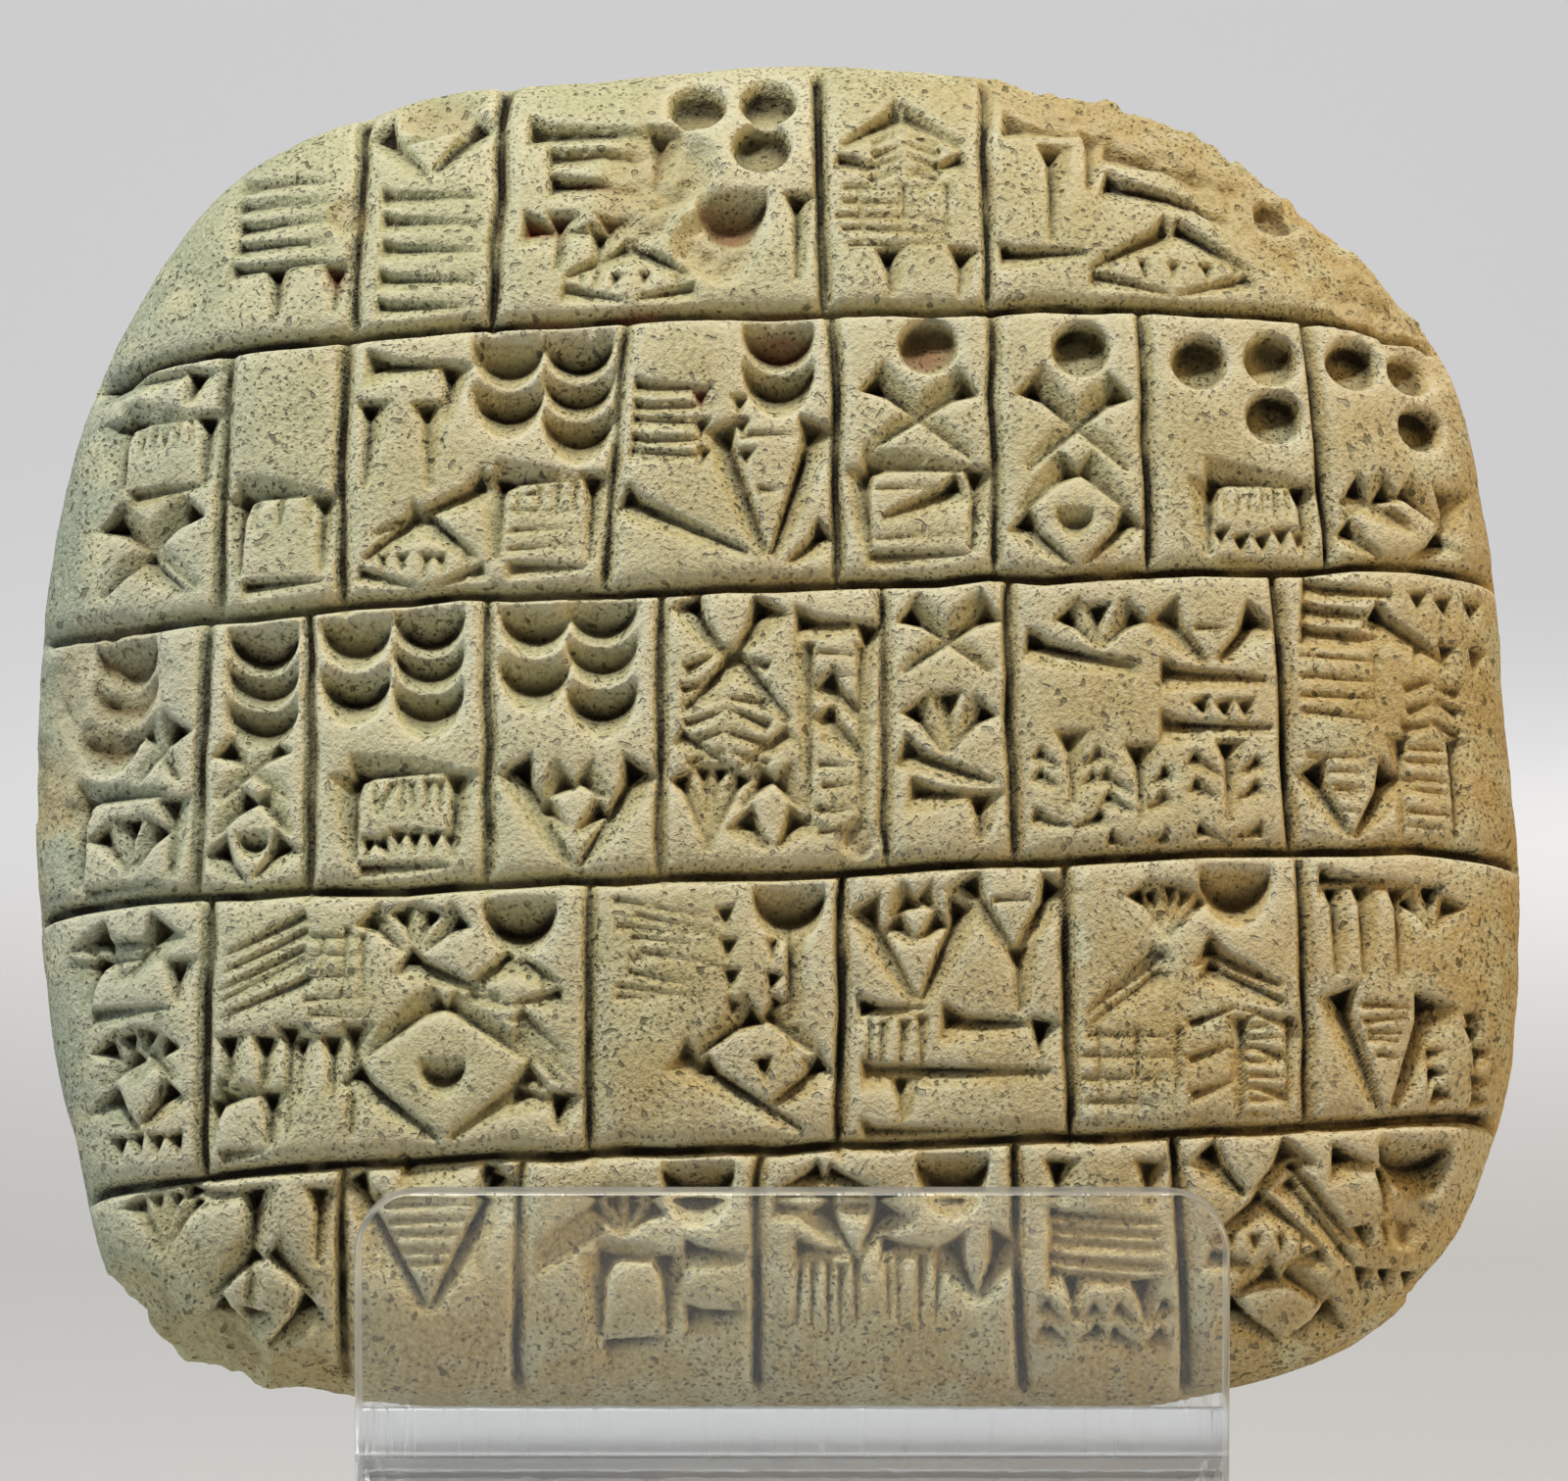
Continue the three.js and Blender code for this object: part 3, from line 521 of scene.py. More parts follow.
# ---- Noise ----
def value_noise(points, cell, seed):
    """Smooth noise from -1 to 1 at points in millimetres, with lumps of about cell."""
    size = 32
    table = np.random.default_rng(seed).uniform(-1, 1, (size, size, size)).astype(np.float32)
    scaled = points / cell
    base = np.floor(scaled).astype(np.int64)
    part = scaled - base
    part = part * part * (3 - 2 * part)
    total = np.zeros(len(points))
    for corner in range(8):
        offset = np.array([corner & 1, corner >> 1 & 1, corner >> 2 & 1])
        spot = (base + offset) % size
        weight = np.prod(np.where(offset, part, 1 - part), axis=1)
        total += weight * table[spot[:, 0], spot[:, 1], spot[:, 2]]
    return total


# ---- The tablet's mesh ----
def rim_radius(angle):
    count = RIM_RADII.size
    place = (angle / (2 * math.pi) * count) % count
    first = np.floor(place).astype(int)
    t = place - first
    a, b, c, d = (RIM_RADII[(first + k) % count] for k in (-1, 0, 1, 2))
    return 0.5 * (2 * b + (c - a) * t + (2 * a - 5 * b + 4 * c - d) * t**2 + (3 * b - a - 3 * c + d) * t**3)


def bulge(side, share):
    return side["bulge"] * np.clip(1 - share ** side["power"], 0, None) ** side["round"]


def even_shares(side):
    """Shares of the way to the rim that are evenly spaced along the curved face."""
    share = 1 - np.linspace(1, 0, 4001) ** 3
    step = np.hypot(np.diff(share) * RIM_RADII.mean(), np.diff(bulge(side, share)))
    travelled = np.concatenate([[0], np.cumsum(step)])
    return travelled / travelled[-1], share


def face_grid(side, cells, outwards):
    """A square grid folded onto one face of the tablet: its points, and the grid's size along each side."""
    a, b = np.meshgrid(np.linspace(-1, 1, cells + 1), np.linspace(-1, 1, cells + 1))
    wide = np.abs(a) > np.abs(b)
    ring = np.where(wide, a, b)
    with np.errstate(divide="ignore", invalid="ignore"):
        angle = np.where(wide, math.pi / 4 * b / a, math.pi / 2 - math.pi / 4 * a / b)
    angle = np.where(ring == 0, 0, angle) + np.where(ring < 0, math.pi, 0)
    travelled, share_at = even_shares(side)
    share = np.interp(np.abs(ring), travelled, share_at)
    radius = share * rim_radius(angle)
    y = outwards * bulge(side, share)
    return np.stack([radius * np.cos(angle), y, radius * np.sin(angle)], axis=-1)


def sample(values, x, z):
    """The map's value at points, between its cells."""
    column = np.clip((x + REACH_X) / CELL, 0, values.shape[1] - 1.001)
    row = np.clip((z + REACH_Z) / CELL, 0, values.shape[0] - 1.001)
    i, j = row.astype(int), column.astype(int)
    s, t = row - i, column - j
    return ((1 - s) * ((1 - t) * values[i, j] + t * values[i, j + 1])
            + s * ((1 - t) * values[i + 1, j] + t * values[i + 1, j + 1]))


def normals_of(grid):
    across = np.gradient(grid, axis=1)
    up = np.gradient(grid, axis=0)
    normal = np.cross(across, up)
    return normal / np.maximum(1e-12, np.linalg.norm(normal, axis=-1, keepdims=True))


def triangles_of(size, first, flipped):
    index = first + np.arange(size * size).reshape(size, size)
    a, b, c, d = index[:-1, :-1], index[:-1, 1:], index[1:, 1:], index[1:, :-1]
    corners = (a, b, c, d) if not flipped else (a, d, c, b)
    quads = np.stack(corners, axis=-1).reshape(-1, 4)
    return np.concatenate([quads[:, [0, 1, 2]], quads[:, [0, 2, 3]]])


def border_of(size, first):
    """The grid's border indices in order round it."""
    index = first + np.arange(size * size).reshape(size, size)
    return np.concatenate([index[0, :-1], index[:-1, -1], index[-1, :0:-1], index[:0:-1, 0]])


FRONT_CELLS = 640
BACK_CELLS = 320
TRIANGLES = 196000
SMOOTH_RIM = 1.5
RIM_STEP = 0.12


def wear(points, normals, pressed_depth):
    """How far each point moves along its normal, and how broken the clay is there."""
    rough = 0.16 * value_noise(points, 9, 1) + 0.05 * value_noise(points, 2.2, 2)
    rough += 0.028 * value_noise(points, 0.8, 3) + 0.018 * value_noise(points, 0.35, 4)
    broken = np.zeros(len(points))
    loss = np.zeros(len(points))
    crags = value_noise(points, 1.6, 5) + 0.6 * value_noise(points, 0.6, 6)
    for x, z, y, radius, depth in CHIPS:
        away = np.linalg.norm(points - np.array([x, y, z]), axis=1) / radius + 0.16 * crags
        inside = np.clip(1.15 - away, 0, 1)
        here = np.clip(inside * 2.4, 0, 1)
        loss = np.maximum(loss, depth * here * (0.75 + 0.25 * crags))
        broken = np.maximum(broken, here)
    torn = broken * (0.34 * value_noise(points, 2.2, 7) + 0.2 * value_noise(points, 0.8, 8))
    return rough + torn - loss - pressed_depth * (1 - 0.45 * broken), broken


def tablet_mesh():
    front = face_grid(FRONT, FRONT_CELLS, -1)
    back = face_grid(BACK, BACK_CELLS, 1)
    front_normals = normals_of(front)
    back_normals = -normals_of(back)
    front_count = front.shape[0] ** 2
    points = np.concatenate([front.reshape(-1, 3), back.reshape(-1, 3)])
    normals = np.concatenate([front_normals.reshape(-1, 3), back_normals.reshape(-1, 3)])
    marks = np.concatenate([
        marks_at(draw_relief(SIDES["front"]), points[:front_count]),
        marks_at(draw_relief(SIDES["back"]), points[front_count:] * np.array([-1, 1, 1])),
    ])
    # The rim is shared by both faces, so nothing is pressed along it.
    marks = marks * np.clip(np.abs(points[:, 1]) / SMOOTH_RIM, 0, 1)[:, None]
    rim_border = border_of(FRONT_CELLS + 1, 0)
    back_border = border_of(BACK_CELLS + 1, front_count)
    for border in (rim_border, back_border):
        outwards = points[border] * np.array([1, 0, 1])
        normals[border] = outwards / np.linalg.norm(outwards, axis=1, keepdims=True)
    move, broken = wear(points, normals, marks[:, 0])
    moved = points + normals * move[:, None]
    ratio = FRONT_CELLS // BACK_CELLS
    faces = [triangles_of(FRONT_CELLS + 1, 0, False), triangles_of(BACK_CELLS + 1, front_count, True)]
    faces.append(seam(rim_border, back_border, ratio))
    # One rim for both: the back's border lies on every second point of the front's.
    moved[back_border] = moved[rim_border[::ratio]] + np.array([0, RIM_STEP, 0])
    mesh = mesh_from(moved, np.concatenate(faces), "tablet_relief")
    attribute(mesh, "crease", marks[:, 1])
    attribute(mesh, "cavity", marks[:, 2])
    attribute(mesh, "broken", broken)
    attribute(mesh, "deposit", deposit_at(points))
    for name, values in stains_and_cool_light_at(points).items():
        attribute(mesh, name, values)
    return mesh


def marks_at(maps, points):
    return np.stack([sample(values, points[:, 0], points[:, 2]) for values in maps], axis=-1)


def seam(front_border, back_border, ratio):
    """The strip of triangles between the fine border of the front and the coarse border of the back."""
    count = len(back_border)
    triangles = []
    for k in range(ratio):
        fine = front_border[(np.arange(count) * ratio + k) % len(front_border)]
        fine_next = front_border[(np.arange(count) * ratio + k + 1) % len(front_border)]
        coarse = back_border if k < ratio / 2 else np.roll(back_border, -1)
        triangles.append(np.stack([fine_next, fine, coarse], axis=-1))
        if k == ratio // 2 - 1:
            triangles.append(np.stack([fine_next, back_border, np.roll(back_border, -1)], axis=-1))
    return np.concatenate(triangles)


def deposit_at(points):
    amount = np.zeros(len(points))
    for x, z, radius in DEPOSITS:
        away = np.hypot(points[:, 0] - x, points[:, 2] - z) / radius
        amount = np.maximum(amount, np.clip(1.2 - away, 0, 1))
    return np.where(points[:, 1] < 0, amount, 0)


def stains_and_cool_light_at(points):
    """Broad changes of the clay's colour, from 0 to 1 or, where they are noise, about 0; the grey-green
    left edge and the cool left end of the warmth are partly painted cool light.
    """
    x, z = points[:, 0], points[:, 2]
    cloudy = value_noise(points, 17, 11) + 0.5 * value_noise(points, 6, 12)
    mottle = value_noise(points, 2.4, 13) + 0.6 * value_noise(points, 0.9, 14)
    patches = value_noise(points, 6, 15) + 0.5 * value_noise(points, 2, 16)
    return {
        "warmth": np.clip(0.42 + x / 80 - z / 110 + 0.35 * cloudy, 0, 1),
        # The grey-green left edge: partly the clay's own tone, partly painted cool light.
        "grey_left_edge_and_cool_light": np.clip((-26 - x + 5 * cloudy) / 16, 0, 1),
        "mottle": mottle,
        "patches": patches,
    }


def mesh_from(points, triangles, name):
    mesh = bpy.data.meshes.new(name)
    mesh.vertices.add(len(points))
    mesh.vertices.foreach_set("co", np.ascontiguousarray(points, np.float32).ravel())
    mesh.loops.add(triangles.size)
    mesh.loops.foreach_set("vertex_index", np.ascontiguousarray(triangles, np.int32).ravel())
    mesh.polygons.add(len(triangles))
    mesh.polygons.foreach_set("loop_start", np.arange(0, triangles.size, 3, dtype=np.int32))
    mesh.update(calc_edges=True)
    mesh.validate()
    return mesh


def attribute(mesh, name, values):
    layer = mesh.attributes.new(name, "FLOAT", "POINT")
    layer.data.foreach_set("value", np.ascontiguousarray(values, np.float32))


def add_object(name, mesh):
    made = bpy.data.objects.new(name, mesh)
    bpy.context.scene.collection.objects.link(made)
    return made


def thinned(mesh, triangles):
    """The same surface with fewer triangles, dense only where it is detailed."""
    full = add_object("full_mesh", mesh)
    step = full.modifiers.new("thin", "DECIMATE")
    step.ratio = triangles / len(mesh.polygons)
    shown = full.evaluated_get(bpy.context.evaluated_depsgraph_get())
    light = bpy.data.meshes.new_from_object(shown)
    bpy.data.objects.remove(full)
    bpy.data.meshes.remove(mesh)
    return light


def place_as_cad(mesh, node):
    """Moves a mesh, made about its own origin, so that the middle of its box is the CAD node's."""
    low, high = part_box(node)
    co = np.empty(len(mesh.vertices) * 3, np.float32)
    mesh.vertices.foreach_get("co", co)
    co = co.reshape(-1, 3)
    shift = (Vector(low) + Vector(high)) / 2 - Vector((co.min(0) + co.max(0)) / 2)
    mesh.transform(Matrix.Translation(shift))


# ---- Shader helpers ----
class Shader:
    """A material's node tree, built by short calls."""

    def __init__(self, name):
        self.material = bpy.data.materials.new(name)
        self.material.use_nodes = True
        self.tree = self.material.node_tree
        self.tree.nodes.clear()
        self.output = self.tree.nodes.new("ShaderNodeOutputMaterial")

    def add(self, kind, inputs=None, **settings):
        made = self.tree.nodes.new("ShaderNode" + kind)
        for key, value in settings.items():
            setattr(made, key, value)
        for key, value in (inputs or {}).items():
            if isinstance(value, bpy.types.NodeSocket):
                self.tree.links.new(value, made.inputs[key])
            else:
                made.inputs[key].default_value = value
        return made

    def math(self, operation, first, second):
        return self.add("Math", {0: first, 1: second}, operation=operation).outputs[0]

    def noise(self, coordinates, scale, detail=3.0, roughness=0.55):
        inputs = {"Vector": coordinates, "Scale": scale, "Detail": detail, "Roughness": roughness}
        return self.add("TexNoise", inputs).outputs[0]

    def ramp(self, value, low, high):
        inputs = {"Value": value, "From Min": low, "From Max": high}
        return self.add("MapRange", inputs, clamp=True).outputs[0]

    def mix(self, share, first, second):
        made = self.add("Mix", data_type="RGBA")
        for socket, value in ((made.inputs[0], share), (made.inputs[6], first), (made.inputs[7], second)):
            if isinstance(value, bpy.types.NodeSocket):
                self.tree.links.new(value, socket)
            else:
                socket.default_value = value
        return made.outputs[2]

    def layer(self, name):
        return self.add("Attribute", attribute_name=name).outputs["Fac"]


def colour(red, green, blue):
    """An sRGB colour, 0 to 255, as the linear colour that a shader takes."""
    def linear(value):
        value /= 255
        return value / 12.92 if value <= 0.04045 else ((value + 0.055) / 1.055) ** 2.4
    return (linear(red), linear(green), linear(blue), 1.0)


BUFF = (182, 179, 138)
OCHRE = (184, 160, 106)
GREY_GREEN = (152, 158, 136)
PALE_BLOTCH = (194, 188, 150)
OCHRE_BLOTCH = (172, 150, 98)
DARK_GRAIN = (112, 105, 76)
PALE_GRAIN = (212, 206, 178)
PIT_SHADE_AND_SPECK = (62, 56, 34)
HOLLOW_SHADE = (104, 87, 48)
CREASE_SHADE = (44, 36, 20)
RISE_WEAR_AND_HIGHLIGHT = (214, 207, 178)
EDGE_WEAR_AND_HIGHLIGHT = (220, 213, 186)
BARE_BREAK = (176, 152, 104)
RUST = (136, 84, 56)


def clay_material():
    s = Shader("dry_clay")
    # Turned, so that the noise's lattice doesn't run along the face.
    own = s.add("TexCoord").outputs["Object"]
    place = s.add("Mapping", {"Vector": own, "Rotation": (0.6, 0.5, 0.9)}).outputs[0]
    grain = s.noise(place, 3400, 2, 0.65)
    fine_pits = s.ramp(s.noise(place, 4400, 0), 0.34, 0.22)
    large_pits = s.ramp(s.noise(place, 1900, 0), 0.72, 0.79)
    mottle, patches = s.layer("mottle"), s.layer("patches")

    # Greenish buff, ochre towards the lower right, grey-green at the left edge: partly the clay's own tone,
    # partly painted cool light from the left.
    body = s.mix(s.layer("warmth"), colour(*BUFF), colour(*OCHRE))
    body = s.mix(s.layer("grey_left_edge_and_cool_light"), body, colour(*GREY_GREEN))
    body = s.mix(s.ramp(mottle, 0.0, 0.9), body, colour(*PALE_BLOTCH))
    body = s.mix(s.ramp(patches, 0.35, 1.5), body, colour(*OCHRE_BLOTCH))
    body = s.mix(s.ramp(grain, 0.48, 0.2), body, colour(*DARK_GRAIN))
    body = s.mix(s.ramp(grain, 0.54, 0.85), body, colour(*PALE_GRAIN))
    # Dark specks: partly dark grains in the clay, partly painted shadow inside the pits.
    pits = s.math("MAXIMUM", s.math("MULTIPLY", fine_pits, s.ramp(mottle, -0.5, 0.1)), large_pits)
    body = s.mix(s.math("MULTIPLY", pits, 0.7), body, colour(*PIT_SHADE_AND_SPECK))

    # Painted shade in the hollows and creases, pale worn rises and edges that are partly painted highlight,
    # bare breaks, rust-red deposit.
    crease = s.layer("crease")
    cavity = s.layer("cavity")
    # Painted shade: the deeper a place lies below those around it, the darker it is.
    body = s.mix(s.math("MULTIPLY", s.ramp(cavity, 0.25, 1.1), 0.55), body, colour(*HOLLOW_SHADE))
    # Painted shade: near black at the bottom of narrow creases, a little patchy.
    crease_shade_share = s.math("MULTIPLY", s.ramp(crease, 0.05, 0.3), s.ramp(mottle, -1.5, 0.3))
    body = s.mix(crease_shade_share, body, colour(*CREASE_SHADE))
    # Raised places and sharp edges paler: partly wear, partly painted highlight.
    body = s.mix(s.math("MULTIPLY", s.ramp(cavity, -0.06, -0.4), 0.45), body, colour(*RISE_WEAR_AND_HIGHLIGHT))
    body = s.mix(s.math("MULTIPLY", s.ramp(crease, -0.04, -0.2), 0.35), body, colour(*EDGE_WEAR_AND_HIGHLIGHT))
    body = s.mix(s.math("MULTIPLY", s.layer("broken"), 0.35), body, colour(*BARE_BREAK))
    hollow = s.math("ADD", s.math("MULTIPLY", mottle, 0.3), s.math("ADD", cavity, grain))
    rust = s.math("MULTIPLY", s.layer("deposit"), s.ramp(hollow, 0.55, 0.95))
    body = s.mix(s.math("MULTIPLY", rust, 0.75), body, colour(*RUST))

    height = s.math("SUBTRACT", s.math("MULTIPLY", grain, 0.9), pits)
    bump = s.add("Bump", {"Strength": 0.9, "Distance": 0.00022, "Height": height}).outputs[0]
    surface = s.add("BsdfPrincipled", {
        "Base Color": body, "Roughness": 0.86, "Specular IOR Level": 0.28, "Normal": bump,
    })
    s.tree.links.new(surface.outputs[0], s.output.inputs[0])
    return s.material


# ---- The cradle's mesh ----
SHEET = 3.0
CRADLE_WIDTH = 48.6
BEND_RADIUS = 4.5
BEND_STEPS = 20
GAP = 0.3
CENTRE_HEIGHT = 53.0
LIP_TOP = 24.6
LIP_INNER_FACE = 16.35
LIP_CORNER = 3.4
BACKREST_TOP = 12.0
SHELF_REACH = 4.4
BASE_REACH = 36.0
EDGE_ROUND = 0.4
EDGE_STEPS = 5
CORNER_STEP = 6
LONG_RUN = 2
# Every flat face has a narrow border of its own, so that smooth shading leaves its middle flat.
BORDER = 0.2
END_STEP = 18
END_RINGS = 90 // END_STEP


def leaning(up, out):
    return np.array([up * math.sin(LEAN) - out * math.cos(LEAN),
                     CENTRE_HEIGHT + up * math.cos(LEAN) + out * math.sin(LEAN)])


def bent_line(corners):
    """The middle line of the strip in side view, with every corner rounded."""
    line = [corners[0]]
    for before, corner, after in zip(corners[:-2], corners[1:-1], corners[2:]):
        back = (before - corner) / np.linalg.norm(before - corner)
        ahead = (after - corner) / np.linalg.norm(after - corner)
        half = math.acos(float(back @ ahead)) / 2
        bisector = (back + ahead) / np.linalg.norm(back + ahead)
        centre = corner + bisector * BEND_RADIUS / math.sin(half)
        start = corner + back * BEND_RADIUS / math.tan(half) - centre
        sense = -math.copysign(1, back[0] * ahead[1] - back[1] * ahead[0])
        for step in range(BEND_STEPS + 1):
            turn = sense * (math.pi - 2 * half) * step / BEND_STEPS
            line.append(centre + np.array([
                start[0] * math.cos(turn) - start[1] * math.sin(turn),
                start[0] * math.sin(turn) + start[1] * math.cos(turn),
            ]))
    line.append(corners[-1])
    return line


def strip_section(half_width, inset):
    """The strip's cross-section with rounded edges: places across it and through its thickness."""
    across, through = half_width - inset, SHEET / 2 - inset
    round_by = EDGE_ROUND - min(inset, EDGE_ROUND * 0.7)
    places = []
    for quarter, (side, face) in enumerate([(1, 1), (-1, 1), (-1, -1), (1, -1)]):
        arc = []
        for step in range(EDGE_STEPS + 1):
            angle = math.pi / 2 * (quarter + step / EDGE_STEPS)
            arc.append((side * (across - round_by) + round_by * math.cos(angle),
                        face * (through - round_by) + round_by * math.sin(angle)))
        turn = math.pi / 2 * quarter
        (a, b), (c, d) = arc[0], arc[-1]
        before = (a + BORDER * math.sin(turn), b - BORDER * math.cos(turn))
        after = (c - BORDER * math.cos(turn), d - BORDER * math.sin(turn))
        places += [before, *arc, after]
    return places


def strip_stations(line):
    """Stations along the strip: place, the way across its thickness, half width and inset of the edge."""
    lengths = [0.0]
    for before, after in zip(line[:-1], line[1:]):
        lengths.append(lengths[-1] + float(np.linalg.norm(after - before)))
    total = lengths[-1]
    corner = [LIP_CORNER * (1 - math.cos(math.radians(a))) for a in range(0, 91, CORNER_STEP)]
    ends = [EDGE_ROUND * (1 - math.cos(math.radians(a))) for a in range(0, 91, END_STEP)]
    straight = [(a, b) for a, b in zip(lengths[:-1], lengths[1:]) if b - a > LONG_RUN]
    borders = [place for a, b in straight for place in (a + BORDER, b - BORDER) if EDGE_ROUND < place]
    borders.append(LIP_CORNER + BORDER)
    wanted = sorted(set([*ends, *corner, *lengths, *borders, *[total - end for end in ends]]))
    stations = []
    for s in wanted:
        k = min(int(np.searchsorted(lengths, s, side="right")) - 1, len(line) - 2)
        span = lengths[k + 1] - lengths[k]
        place = line[k] + (line[k + 1] - line[k]) * (s - lengths[k]) / span
        before, after = line[max(0, k - 1)], line[min(len(line) - 1, k + 2)]
        at_joint = abs(s - lengths[k]) < 1e-9 and k > 0
        along = line[k + 1] - line[k - 1] if at_joint else line[k + 1] - line[k]
        along = along / np.linalg.norm(along)
        missing = LIP_CORNER - s
        narrowed = LIP_CORNER - math.sqrt(LIP_CORNER**2 - missing**2) if missing > 0 else 0.0
        from_end = min(s, total - s)
        inset = EDGE_ROUND - math.sqrt(EDGE_ROUND**2 - max(0.0, EDGE_ROUND - from_end) ** 2)
        stations.append((place, np.array([-along[1], along[0]]), CRADLE_WIDTH / 2 - narrowed, inset))
    return stations


def cradle_mesh():
    half = SHEET / 2
    lip_y = -LIP_INNER_FACE - half
    lowest = max(float(rim_radius(math.radians(270 + a))) * math.cos(math.radians(a)) for a in (-15, 0, 15))
    shelf = -lowest - GAP - half
    backrest = -BACK["bulge"] - GAP - half
    line = bent_line([
        np.array([lip_y, CENTRE_HEIGHT - LIP_TOP]),
        np.array([lip_y, half]),
        np.array([BASE_REACH, half]),
        leaning(BACKREST_TOP, backrest),
        leaning(shelf, backrest),
        leaning(shelf, SHELF_REACH),
    ])
    points, faces = [], []
    rings = strip_stations(line)
    for place, through_way, half_width, inset in rings:
        for across, through in strip_section(half_width, inset):
            y, z = place + through_way * through
            points.append((across * MM, y * MM, z * MM))
    size = len(strip_section(CRADLE_WIDTH / 2, 0))
    for ring in range(len(rings) - 1):
        first = ring * size
        for k in range(size):
            after = (k + 1) % size
            faces.append((first + k, first + size + k, first + size + after, first + after))
    last = (len(rings) - 1) * size
    faces.append(tuple(range(size)))
    faces.append(tuple(last + k for k in reversed(range(size))))
    mesh = bpy.data.meshes.new("bent_strip")
    mesh.from_pydata(points, [], faces)
    mesh.validate()
    # The two broad faces are clear, and the edges and both ends, with the two end caps, are sawn.
    sawn = np.ones((len(rings) - 1, size), bool)
    for corner in (EDGE_STEPS + 1, size // 2 + EDGE_STEPS + 1):
        sawn[END_RINGS:-END_RINGS, corner:corner + 3] = False
    material_of = np.append(sawn.ravel(), [True, True])
    mesh.polygons.foreach_set("material_index", material_of.astype(np.int32))
    return mesh


CLEAR = {
    "name": "clear_acrylic", "transmission": 0.985, "roughness": 0.02,
    "grain": (900.0, 900.0, 900.0), "strength": 0.03,
}
SAWN = {
    "name": "sawn_acrylic", "transmission": 0.86, "roughness": 0.3,
    "grain": (2600.0, 300.0, 120.0), "strength": 0.3,
}


def acrylic_material(name, transmission, roughness, grain, strength):
    """Clear by plain values. Its scuffs or saw marks are bump only, grain of them to the metre each way."""
    s = Shader(name)
    place = s.add("TexCoord").outputs["Object"]
    marks = s.noise(s.add("Mapping", {"Vector": place, "Scale": grain}).outputs[0], 1.0, 1)
    scuffs = s.ramp(marks, 0.55, 0.75)
    bump = s.add("Bump", {"Strength": strength, "Distance": 0.0002, "Height": scuffs}).outputs[0]
    clear = s.add("BsdfPrincipled", {
        "Base Color": (0.95, 0.965, 0.975, 1.0), "IOR": 1.49, "Normal": bump, "Roughness": roughness,
        "Transmission Weight": transmission,
    })
    lets_light = s.add("BsdfTransparent", {"Color": (0.94, 0.955, 0.96, 1.0)})
    shadow = s.add("LightPath").outputs["Is Shadow Ray"]
    mixed = s.add("MixShader", {0: shadow, 1: clear.outputs[0], 2: lets_light.outputs[0]})
    s.tree.links.new(mixed.outputs[0], s.output.inputs[0])
    return s.material


# ---- Assembly ----
def make_tablet():
    mesh = thinned(tablet_mesh(), TRIANGLES)
    mesh.transform(Matrix.Rotation(-LEAN, 4, "X") @ Matrix.Scale(MM, 4))
    place_as_cad(mesh, "tablet")
    mesh.shade_smooth()
    made = add_object("clay_tablet", mesh)
    mesh.materials.clear()
    mesh.materials.append(clay_material())
    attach(made, "root")
    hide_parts("tablet")


def make_cradle():
    mesh = cradle_mesh()
    place_as_cad(mesh, "cradle")
    mesh.shade_smooth()
    mesh.set_sharp_from_angle(angle=math.radians(40))
    made = add_object("acrylic_cradle", mesh)
    for looks in (CLEAR, SAWN):
        mesh.materials.append(acrylic_material(**looks))
    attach(made, "root")
    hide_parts("cradle")


STAGE_FLAT = 0.6
STAGE_RADIUS = 2.1
STAGE_RISE = 0.5
STAGE_RINGS = 31
STAGE_SIDES = 96


def make_stage():
    """A pale floor that curves up all round into a backdrop, ever more steeply."""
    points, faces = [], []
    for radius in np.linspace(STAGE_FLAT, STAGE_RADIUS, STAGE_RINGS):
        for k in range(STAGE_SIDES):
            angle = 2 * math.pi * k / STAGE_SIDES
            rise = STAGE_RISE * (radius - STAGE_FLAT) ** 3
            points.append((radius * math.cos(angle), radius * math.sin(angle), rise))
    for ring in range(STAGE_RINGS - 1):
        for k in range(STAGE_SIDES):
            a, b = ring * STAGE_SIDES + k, ring * STAGE_SIDES + (k + 1) % STAGE_SIDES
            faces.append((a, a + STAGE_SIDES, b + STAGE_SIDES, b))
    faces.append(tuple(range(STAGE_SIDES)))
    mesh = bpy.data.meshes.new("backdrop")
    mesh.from_pydata(points, [], faces)
    mesh.shade_smooth()
    made = add_object("backdrop", mesh)
    s = Shader("pale_card")
    surface = s.add("BsdfDiffuse", {"Color": colour(182, 182, 184)})
    s.tree.links.new(surface.outputs[0], s.output.inputs[0])
    mesh.materials.append(s.material)


def area_light(name, place, aim, size, power, tint):
    data = bpy.data.lights.new(name, "AREA")
    data.shape = "DISK"
    data.size = size
    data.energy = power
    data.color = tint
    made = bpy.data.objects.new(name, data)
    made.location = place
    made.rotation_euler = (Vector(aim) - Vector(place)).to_track_quat("-Z", "Y").to_euler()
    bpy.context.scene.collection.objects.link(made)


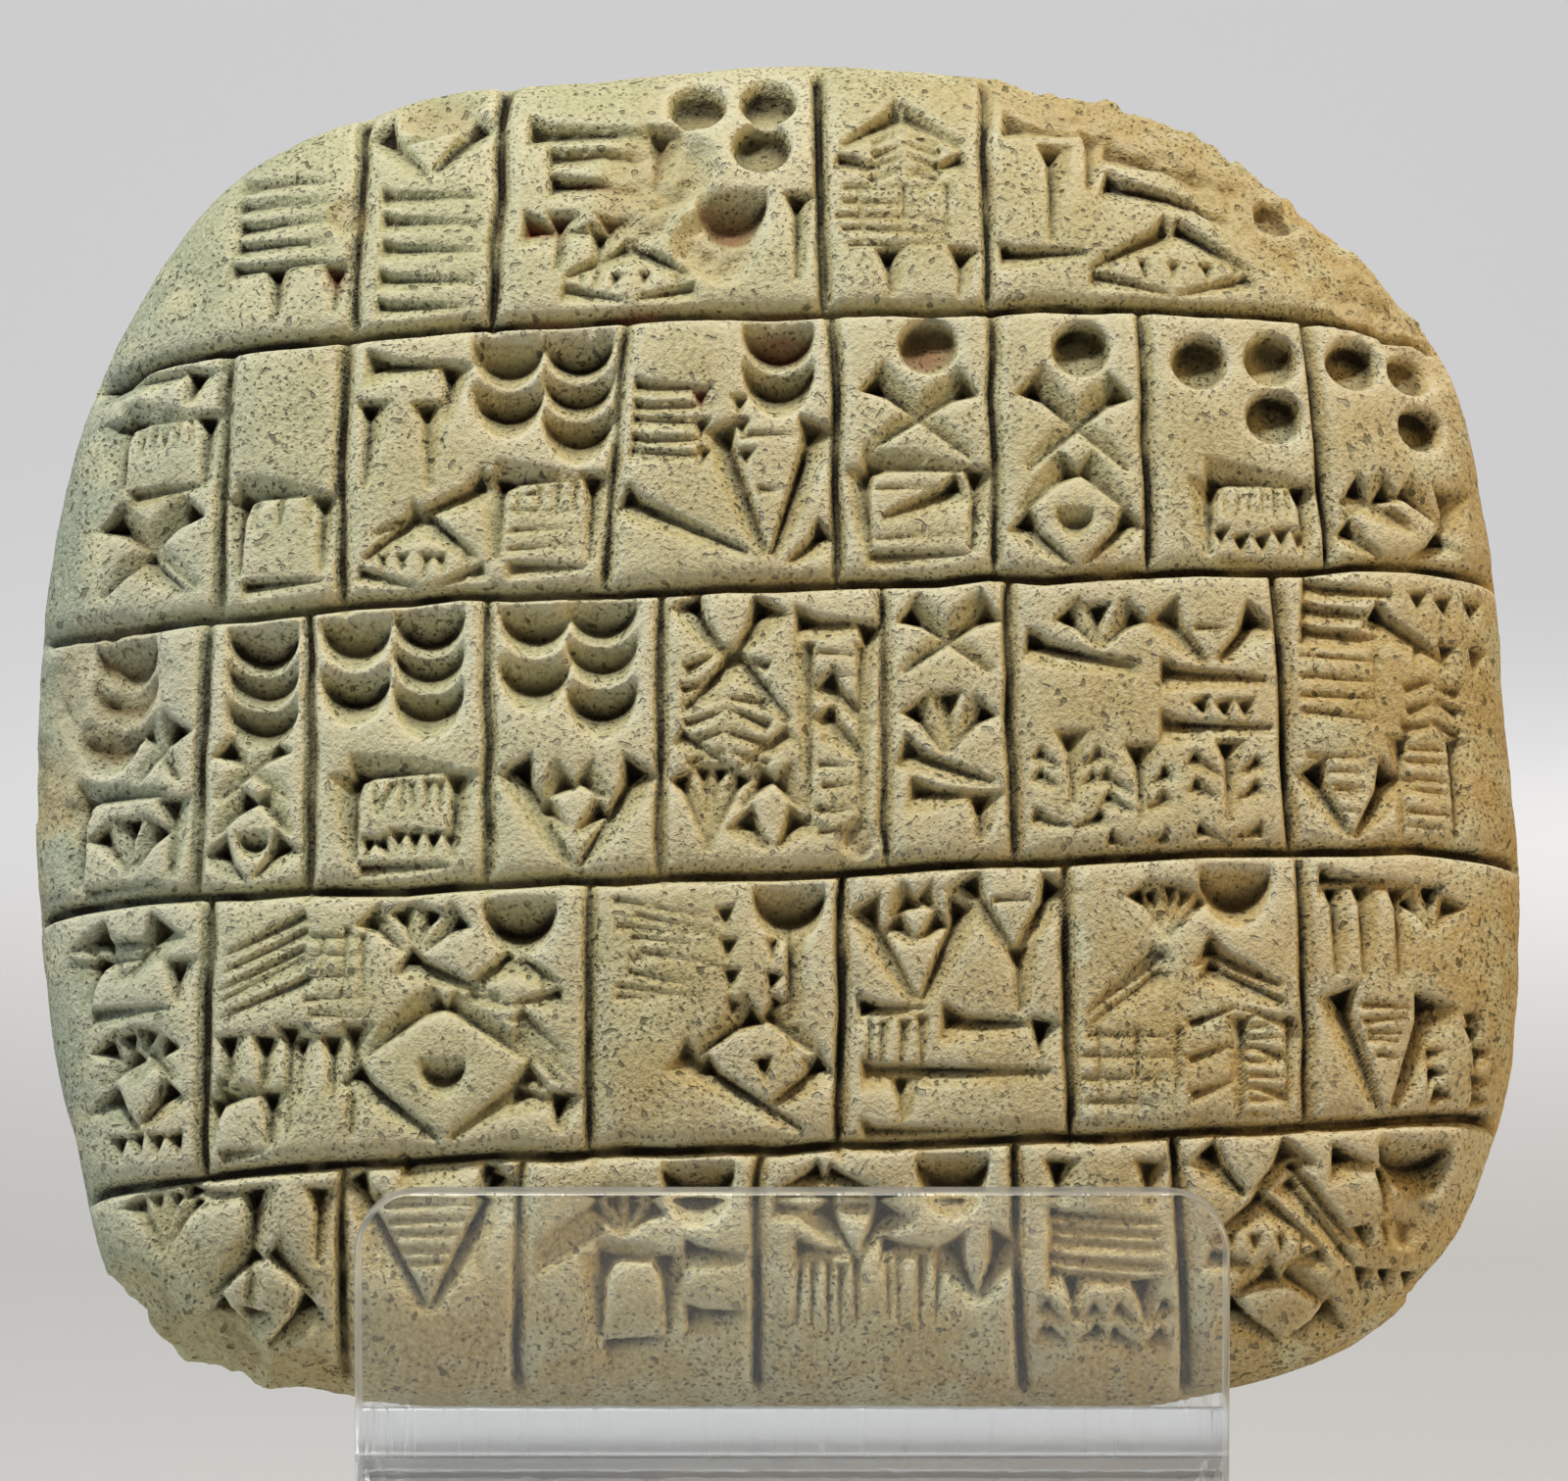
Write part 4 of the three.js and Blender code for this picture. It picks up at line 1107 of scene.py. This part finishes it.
# Name, place from the tablet's middle, size, power and tint.
LIGHTS = [
    ("key", (-0.12, -0.16, 0.62), 0.1, 4.9, (0.99, 0.99, 0.95)),
    ("cool_side", (-0.62, -0.12, 0.06), 0.18, 1.1, (0.6, 0.8, 1.0)),
    ("warm_side", (0.6, -0.2, 0.16), 0.18, 1.8, (1.0, 0.7, 0.32)),
    ("rear", (0.34, 0.6, 0.3), 0.25, 2.0, (1.0, 0.95, 0.88)),
]


def make_lights(centre):
    centre = Vector(centre)
    for name, offset, size, power, tint in LIGHTS:
        area_light(name, centre + Vector(offset), centre, size, power, tint)
    wash_from, wash_to = centre + Vector((0, 0.5, 0.8)), centre + Vector((0, 1.4, 0.45))
    area_light("backdrop_wash", wash_from, wash_to, 0.6, 13.5, (1.0, 1.0, 1.0))
    world = bpy.data.worlds.new("studio")
    world.use_nodes = True
    world.node_tree.nodes["Background"].inputs[0].default_value = (0.9, 0.94, 1.0, 1.0)
    world.node_tree.nodes["Background"].inputs[1].default_value = 0.05
    bpy.context.scene.world = world
    bpy.context.scene.view_settings.view_transform = "Standard"


CAMERA_AWAY = 0.5
CAMERA_HEIGHT = math.radians(4)
CAMERA_LENS = 199.8
# The picture's middle is this far right of and below the tablet's.
AIM_OFFSET = (0.39 * MM, 0, -0.84 * MM)


def make_camera(centre):
    """Straight in front and a little above, with the tablet a hair left of and above the middle."""
    data = bpy.data.cameras.new("viewer")
    data.lens = CAMERA_LENS
    data.sensor_width = 36
    data.clip_start = 0.02
    data.clip_end = 5
    made = bpy.data.objects.new("viewer", data)
    aim = Vector(centre) + Vector(AIM_OFFSET)
    away = Vector((0, -math.cos(CAMERA_HEIGHT), math.sin(CAMERA_HEIGHT)))
    made.location = aim + away * CAMERA_AWAY
    made.rotation_euler = (-away).to_track_quat("-Z", "Y").to_euler()
    bpy.context.scene.collection.objects.link(made)
    bpy.context.scene.camera = made


# The middle of the tablet: its height over the table is a driving size, and the rest comes from its box.
tablet_low, tablet_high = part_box("tablet")
make_tablet()
make_cradle()
cradle_low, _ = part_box("cradle")
tablet_middle = (
    (tablet_low.x + tablet_high.x) / 2,
    cradle_low.y + (LIP_INNER_FACE + SHEET) * MM,
    CENTRE_HEIGHT * MM,
)
make_stage()
make_lights(tablet_middle)
make_camera(tablet_middle)
